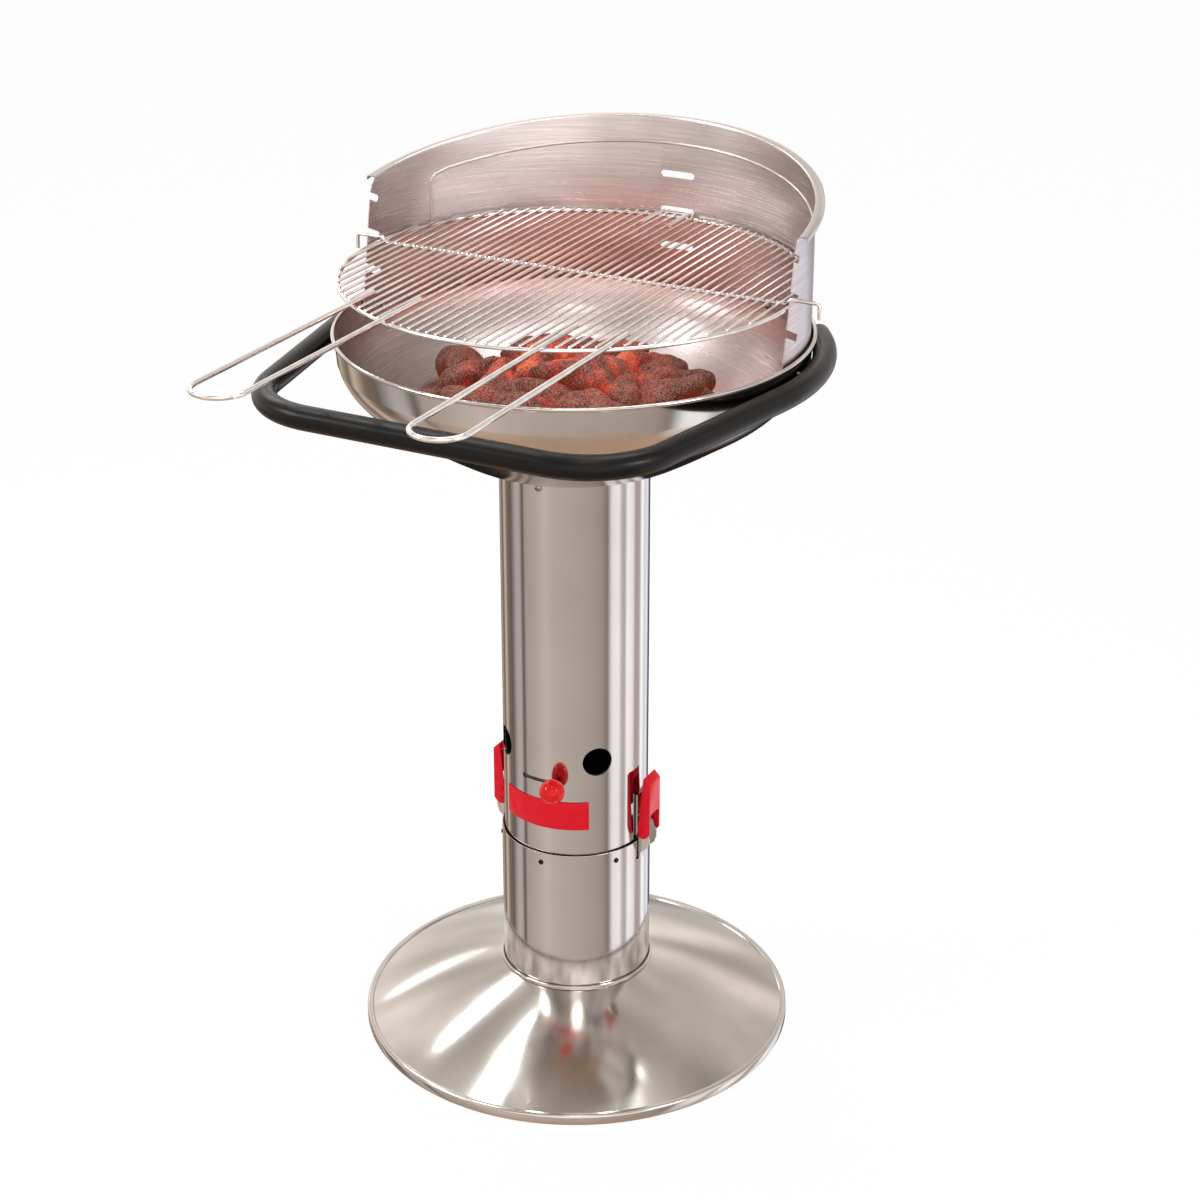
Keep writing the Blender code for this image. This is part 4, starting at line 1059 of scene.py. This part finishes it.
for sideName, turn in (("right", Matrix.Identity(4)), ("left", Matrix.Rotation(pi, 4, "Z"))):
    makeLever(sideName, turn)
    makeClaw(sideName, turn)
print("latches")


# Bowl

bowl = {
    "neckRadius": 0.0775,
    "neckLow": 0.655,
    "neckTop": 0.677,
    "width": 0.166,
    "height": 0.116,
    "outline": (
        (0, 0), (0.25, 0.113), (0.433, 0.255), (0.615, 0.42),
        (0.797, 0.592), (0.913, 0.754), (0.973, 0.89), (1, 1),
    ),
    "bandTop": (0.2455, 0.8195),
    "curl": 0.00225,
    "sheet": 0.001,
    "steps": 240,
}


def smoothLine(points, parts):
    # points between the given ones, on a curve that goes through them all
    line = []
    for number in range(len(points) - 1):
        here, there = Vector(points[number]), Vector(points[number + 1])
        before = Vector(points[number - 1]) if number else here * 2 - there
        after = Vector(points[number + 2]) if number + 2 < len(points) else there * 2 - here
        for part in range(parts):
            t = part / parts
            bend = (before * -1 + here * 3 - there * 3 + after) * t ** 3
            bend += (before * 2 - here * 5 + there * 4 - after) * t ** 2
            line.append((here * 2 + (there - before) * t + bend) / 2)
    line.append(Vector(points[-1]))
    return [tuple(point) for point in line]


def bowlSection():
    low, high = bowl["neckTop"], bowl["neckTop"] + bowl["height"]
    wall = []
    for across, up in bowl["outline"]:
        wall.append((bowl["neckRadius"] + across * bowl["width"], low + up * (high - low)))
    return smoothLine(wall, 4)


def makeBowl():
    section = [(bowl["neckRadius"], bowl["neckLow"])] + bowlSection() + [bowl["bandTop"]]
    middle = (bowl["bandTop"][0] + bowl["curl"], bowl["bandTop"][1])
    section += arc(middle, bowl["curl"], 180, -60, 12)[1:]
    piece = turned("bowl", section, bowl["steps"])
    edit(piece)
    # the drawn line is the inner surface, and the sheet lies outside it
    selectAll()
    bpy.ops.mesh.normals_make_consistent(inside=True)
    leaveEdit()
    # smooth outside, brushed inside, and bright where the rim is rolled
    dress(piece, satin, brushed, polished)
    giveWall(piece, bowl["sheet"], outwards=True, insideSlot=1)
    rim = bowl["bandTop"][1] - bowl["curl"]
    reach = bowl["bandTop"][0]
    coverFaces(piece, 2, lambda place, facing: place.z > rim and hypot(place.x, place.y) > reach)
    handOver(piece, "stand", "brushed_steel", "bowl")
    print("bowl")


makeBowl()


# Charcoal

charcoal = {
    "floor": 0.7130,
    "lumpSize": (0.047, 0.021, 0.018),
    "rings": (
        (12, 0.130, 0.022), (7, 0.084, 0.018), (8, 0.106, 0.040), (5, 0.064, 0.044), (4, 0.034, 0.058),
    ),
    "lowRise": 0.025,
    "shift": (-0.010, -0.004, 0),
    "models": 6,
    "modelsApart": 0.5,
    "grains": ((0.050, 0.022), (0.024, 0.0095), (0.004, 0.0004)),
    "bearingPlay": 0.2,
    "ringPlay": 0.006,
    "seed": 11,
    "turnByRing": 900,  # degrees for each metre of a ring's radius
    "spin": (20, 150),
    "tip": 24,
    "grow": (0.86, 1.12),
    "wallGap": 0.001,
    "glowMiddle": (-0.018, 0.01, 0.770),
    "glowNear": 0.03,
    "glowFar": 0.145,
    "glowPower": 0.85,
    "glowBelow": 0.20,
    "rest": 0.7126,
    "grateReach": 0.150,
}


def makeLump(number):
    # each model is shaped at a place of its own, where the noise differs
    apart = charcoal["modelsApart"] * number
    ball = {"subdivisions": 5, "radius": 1, "location": (apart, 0, 0)}
    lump = added(f"lump_{number}", bpy.ops.mesh.primitive_ico_sphere_add, **ball)
    lump.scale = charcoal["lumpSize"]
    bpy.ops.object.transform_apply(location=True, rotation=True, scale=True)
    for size, depth in charcoal["grains"]:
        grain = bpy.data.textures.new("lumpGrain", "CLOUDS")
        grain.noise_scale = size
        grain.noise_depth = 1
        modify(lump, "DISPLACE", texture=grain, texture_coords="LOCAL", strength=depth, mid_level=0.5)
    edit(lump)
    selectAll()
    bpy.ops.transform.translate(value=(-apart, 0, 0))
    leaveEdit()
    return lump


def liftOff(lump):
    # how far a lump is to be raised to rest on the grate, or on the bowl's wall further out
    wall = bowlSection()
    lift = -1
    for vertex in lump.data.vertices:
        place = lump.matrix_world @ vertex.co
        reach = hypot(place.x, place.y)
        floor = charcoal["rest"]
        if reach > charcoal["grateReach"]:
            for (near, low), (far, high) in zip(wall, wall[1:]):
                if near <= reach <= far:
                    floor = charcoal["wallGap"] + low + (high - low) * (reach - near) / (far - near)
        lift = max(lift, floor - place.z)
    return lift


def makeCharcoal():
    chance = random.Random(charcoal["seed"])
    models = [makeLump(number) for number in range(charcoal["models"])]
    lumps = []
    bearingPlay, ringPlay = charcoal["bearingPlay"], charcoal["ringPlay"]
    for count, ring, rise in charcoal["rings"]:
        for number in range(count):
            bearing = 360 * (number + chance.uniform(-bearingPlay, bearingPlay)) / count
            bearing += ring * charcoal["turnByRing"]
            place = around(ring + chance.uniform(-ringPlay, ringPlay), bearing, charcoal["floor"] + rise)
            place += Vector(charcoal["shift"])
            spin = Matrix.Rotation(radians(bearing + chance.uniform(*charcoal["spin"])), 4, "Z")
            tip = Matrix.Rotation(radians(chance.uniform(-charcoal["tip"], charcoal["tip"])), 4, "Y")
            roll = Matrix.Rotation(radians(chance.uniform(0, 360)), 4, "X")
            grow = Matrix.Scale(chance.uniform(*charcoal["grow"]), 4)
            model = models[len(lumps) % len(models)]
            lump = copyOf(model, "lump", Matrix.Translation(place) @ spin @ tip @ roll @ grow)
            lift = liftOff(lump)
            if lift > 0 or rise < charcoal["lowRise"]:
                lump.location.z += lift
            lumps.append(lump)
    for model in models:
        bpy.data.objects.remove(model)
    piece = joinPieces(*lumps)
    piece.name = "charcoal_lumps"
    dress(piece, burningCharcoal(charcoal))
    handOver(piece, "stand", "charcoal", "charcoal", smoothAngle=60)
    print("charcoal:", len(lumps), "lumps")


makeCharcoal()


# Windshield

shield = {
    "radius": 0.2435,
    "sheet": 0.001,
    "bottom": 0.797,
    "rows": (0.88, 1.0),
    "topAtAxis": 0.94295,
    "topSlope": 0.1684,
    "halfSweep": 99,
    "steps": 132,
    "lip": 0.0085,
    "lipRound": 0.0015,
    "lipDrop": 0.0035,
    "edgeLowY": -0.024,
    "edgeTopY": 0.004,
    "corner": 0.010,
    "cornerCuts": ((0.10, 30), (0.22, 55)),
    "levels": (0.84195, 0.88195, 0.92195),
    "slotHeight": 0.0075,
    "rearSlotWidth": 0.040,
    "notchSlope": 25,
    "notchY": 0.0115,
    "notchSeat": 0.0023,
    "notchRound": 0.0012,
    "notchReach": 0.16,
    "notchCut": 0.6,
    "rearCut": (0.2, 0.1),
    "beadRadius": 0.0016,
    "beadDrop": 0.028,
    "beadEnd": 67.5,
    "beadBottom": 0.835,
    "beadBend": 0.010,
}


def shieldTop(bearing):
    return shield["topAtAxis"] + shield["topSlope"] * shield["radius"] * sin(radians(bearing))


def makeShieldWall():
    radius, bottom = shield["radius"], shield["bottom"]
    start = 90 - shield["halfSweep"]
    section = [(radius, height) for height in (bottom, *shield["rows"])]
    piece = turned("windshield", section, shield["steps"], start, 2 * shield["halfSweep"])
    edit(piece)
    selectAll()
    slope = shield["topSlope"]
    edgeHeight = shield["topAtAxis"] - shield["lipRound"]
    bpy.ops.mesh.bisect(plane_co=(0, 0, edgeHeight), plane_no=(0, -slope, 1), clear_outer=True)
    # the ends lean back, and two more cuts round off the top corner
    top, corner = shield["topAtAxis"], shield["corner"]
    lean = (shield["edgeTopY"] - shield["edgeLowY"]) / (top - bottom)
    cuts = [((0, shield["edgeLowY"], bottom), (0, -1, lean))]
    for share, tilt in shield["cornerCuts"]:
        place = (0, shield["edgeTopY"] + corner * share, top - corner * (0.5 - share))
        cuts.append((place, (0, -cos(radians(tilt)), sin(radians(tilt)))))
    for place, facing in cuts:
        selectAll()
        bpy.ops.mesh.bisect(plane_co=place, plane_no=facing, clear_outer=True)
    # the top edge is drawn out into a lip, rounded over at both sides
    lipRound = shield["lipRound"]

    def onTopEdge(place, facing):
        return abs(place.z - slope * place.y - edgeHeight) < 0.0002

    selectWhere(piece, "edges", onTopEdge)
    steps = arc((lipRound, 0), lipRound, 180, 90, 3)[1:]
    steps += arc((shield["lip"] - lipRound, 0), lipRound, 90, 0, 3)
    steps.append((shield["lip"], lipRound - shield["lipDrop"]))
    across, up = 0, 0
    for newAcross, newUp in steps:
        drawOut((0, 0, newUp - up))
        grow = (radius + newAcross) / (radius + across)
        bpy.ops.transform.resize(value=(grow, grow, 1), center_override=(0, 0, 0))
        across, up = newAcross, newUp
    bpy.ops.mesh.select_mode(type="VERT")
    selectAll()
    bpy.ops.mesh.remove_doubles(threshold=0.00001)
    leaveEdit()
    dress(piece, brushed, polished)
    giveWall(piece, shield["sheet"])
    outer = radius + shield["sheet"]
    coverFaces(piece, 1, lambda place, facing: hypot(place.x, place.y) > outer)
    return piece


def cutShield(piece):
    half, seat, reach = shield["slotHeight"] / 2, shield["notchSeat"], shield["notchReach"]
    curl, high = shield["notchRound"], shield["slotHeight"] - shield["notchSeat"]
    shape = [(-reach, -seat)] + arc((seat - curl, curl - seat), curl, -90, 0, 4)
    shape += arc((seat - curl, high - curl), curl, 0, 90, 4) + [(-reach, high)]
    slope = radians(-shield["notchSlope"])
    cutters = []
    for height in shield["levels"]:
        place = Vector((0, shield["notchY"], height - half + seat))
        points = []
        for along, up in shape:
            y = along * cos(slope) - up * sin(slope)
            z = along * sin(slope) + up * cos(slope)
            points.append(place + Vector((-shield["notchCut"] / 2, y, z)))
        cutters.append(plateOf("notch", points, (shield["notchCut"], 0, 0)))
        inner = shield["rearSlotWidth"] / 2 - half
        rear = arc((inner, 0), half, -90, 90, 10) + arc((-inner, 0), half, 90, 270, 10)
        start, depth = shield["rearCut"]
        points = [Vector((across, start, height + up)) for across, up in rear]
        cutters.append(plateOf("rearSlot", points, (0, depth, 0)))
    combine(piece, "DIFFERENCE", *cutters)


def makeBead():
    # a pressed line along the inner face, which turns down near both ends
    radius = shield["radius"] - shield["sheet"]
    end, bend = shield["beadEnd"], shield["beadBend"]
    bendDegrees = degrees(bend / radius)
    left, drop = 90 + end, shield["beadDrop"]
    # one half is drawn from its low end up to the middle, and mirrored
    half = [around(radius, left, shield["beadBottom"])]
    for step in range(7):
        turn = radians(90 * step / 6)
        bearing = left - bendDegrees * (1 - cos(turn))
        half.append(around(radius, bearing, shieldTop(left) - drop - bend * (1 - sin(turn))))
    steps = 24
    for step in range(1, steps + 1):
        bearing = left - bendDegrees - (end - bendDegrees) * step / steps
        half.append(around(radius, bearing, shieldTop(bearing) - drop))
    points = half + [Vector((-place.x, place.y, place.z)) for place in reversed(half[:-1])]
    return bentWire("bead", points, shield["beadRadius"], 12)


def makeShield():
    piece = makeShieldWall()
    cutShield(piece)
    bead = makeBead()
    dress(bead, brushed)
    piece = joinPieces(piece, bead)
    handOver(piece, "stand", "brushed_steel", "windshield")
    print("windshield")


makeShield()


# Rail

rail = {
    "tube": 0.0125,
    "height": 0.79795,
    "ring": 0.2582,
    "ringEnd": 36,
    "cornerX": 0.1302,
    "cornerY": -0.215,
    "cornerRadius": 0.090,
    "tangent": -10.8,
    "sides": 32,
    "tip": 0.0025,
}


def makeRail():
    half = arc((rail["cornerX"], rail["cornerY"]), rail["cornerRadius"], -90, rail["tangent"], 30)
    half += arc((0, 0), rail["ring"], rail["tangent"], rail["ringEnd"], 24)
    whole = [(-across, along) for across, along in reversed(half)] + half
    path = [Vector((across, along, rail["height"])) for across, along in whole]
    piece = bentWire("rail", path, rail["tube"], rail["sides"], tip=rail["tip"])
    dress(piece, blackCoat)
    handOver(piece, "stand", "black_paint", "rail")
    print("rail")


makeRail()


# Cooking grid, its hanging wire, rear loop and handles

grid = {
    "ringRadius": 0.2390,
    "ringWire": 0.0022,
    "ringHeight": 0.8760,
    "shiftY": -0.002,
    "barWire": 0.0015,
    "barHeight": 0.8791,
    "pitch": 0.0109,
    "bars": 21,
    "handleBars": (8, 13),
    "handleWire": 0.00275,
    "handleHeight": 0.88125,
    "handleLegs": (0.0872, 0.1417),
    "handleBack": -0.1582,
    "weldGap": 0.0003,
    "loopMiddle": -0.46025,
    "loopRadius": 0.02725,
    "supportWire": 0.002,
    "supportY": 0.0115,
    "supportFoot": 0.2311,
    "supportTurn": 0.2362,
    "supportLow": 0.8753,
    "hangHeight": 0.8805,
    "hookOut": 0.2670,
    "hookLow": 0.8645,
    "hookBend": 0.0036,
    "tabBend": 0.004,
    "tabHalf": 0.01635,
    "tabStart": 0.190,
    "tabEnd": 0.245,
    "tip": 0.0008,
    "handleTip": 0.0010,
}


def makeGrid():
    piece = added(
        "cookingGrid", bpy.ops.mesh.primitive_torus_add, location=(0, grid["shiftY"], grid["ringHeight"]),
        major_radius=grid["ringRadius"], minor_radius=grid["ringWire"],
        major_segments=180, minor_segments=14,
    )
    bpy.ops.object.mode_set(mode="EDIT")
    for number in range(-grid["bars"], grid["bars"] + 1):
        x = number * grid["pitch"]
        half = sqrt(grid["ringRadius"] ** 2 - x * x) + grid["barWire"] / 2
        front, back = grid["shiftY"] - half, grid["shiftY"] + half
        if abs(number) in grid["handleBars"]:
            front = grid["handleBack"] + grid["weldGap"]
        bpy.ops.mesh.primitive_cylinder_add(
            vertices=12,
            radius=grid["barWire"],
            depth=back - front,
            location=(x, (front + back) / 2, grid["barHeight"]),
            rotation=(pi / 2, 0, 0),
        )

    def onBarEnd(place, facing):
        return abs(facing.y) > 0.99 and abs(place.z - grid["barHeight"]) < 0.0003 and abs(facing.z) < 0.01

    # each bar's sheared ends are rounded over
    selectWhere(piece, "faces", onBarEnd)
    bpy.ops.mesh.bevel(offset=grid["tip"], segments=3, affect="EDGES")
    leaveEdit()
    dress(piece, chrome)
    handOver(piece, "grid", "chromed_wire", "cooking_grid")


def makeHangers():
    out, bend = grid["hookOut"], grid["hookBend"]
    y, z = grid["supportY"], grid["hangHeight"]
    half = [(grid["supportFoot"], grid["supportLow"]), (grid["supportTurn"], z)]
    half += [(out, z), (out, grid["hookLow"])]
    corners = [(-x, z) for x, z in reversed(half)] + half
    points = [Vector((x, y, z)) for x, z in corners]
    left = roundPath(points[:5], bend, 5)
    right = roundPath(points[3:], bend, 5)
    path = left[:-1] + right[1:]
    piece = bentWire("gridSupportWire", path, grid["supportWire"], 12, tip=grid["tip"])
    dress(piece, chrome)
    handOver(piece, "grid", "chromed_wire", "grid_support_wire")

    x, start, end = grid["tabHalf"], grid["tabStart"], grid["tabEnd"]
    corners = [Vector((x, start, z)), Vector((x, end, z)), Vector((-x, end, z)), Vector((-x, start, z))]
    path = roundPath(corners, grid["tabBend"], 6)
    piece = bentWire("gridRearLoop", path, grid["supportWire"], 12, tip=grid["tip"])
    dress(piece, chrome)
    handOver(piece, "grid", "chromed_wire", "grid_rear_tab")


def makeHandles():
    inner, outer = grid["handleLegs"]
    middle, z = (inner + outer) / 2, grid["handleHeight"]
    loop = arc((middle, grid["loopMiddle"]), grid["loopRadius"], 180, 360, 24)
    flat = [(inner, grid["handleBack"])] + loop + [(outer, grid["handleBack"])]
    for sideName, side in (("left", -1), ("right", 1)):
        path = [Vector((side * x, y, z)) for x, y in flat]
        piece = bentWire(f"gridHandle_{sideName}", path, grid["handleWire"], 16, tip=grid["handleTip"])
        dress(piece, chrome)
        handOver(piece, "grid", "chromed_wire", f"grid_handle_{sideName}")
    print("grid, hangers and handles")


makeGrid()
makeHangers()
makeHandles()


# The coals' own light on the bowl and windshield

emberLight = {"place": (0.0, 0.10, 0.790), "colour": "#ff6a10", "watts": 0.21, "radius": 0.12}


def addEmberLight():
    light = added("emberLight", bpy.ops.object.light_add, type="POINT", location=emberLight["place"])
    light.data.color = paint(emberLight["colour"])[:3]
    light.data.energy = emberLight["watts"]
    light.data.shadow_soft_size = emberLight["radius"]
    light.visible_camera = False


addEmberLight()

bpy.context.scene.view_settings.view_transform = "Standard"
clearSelection()
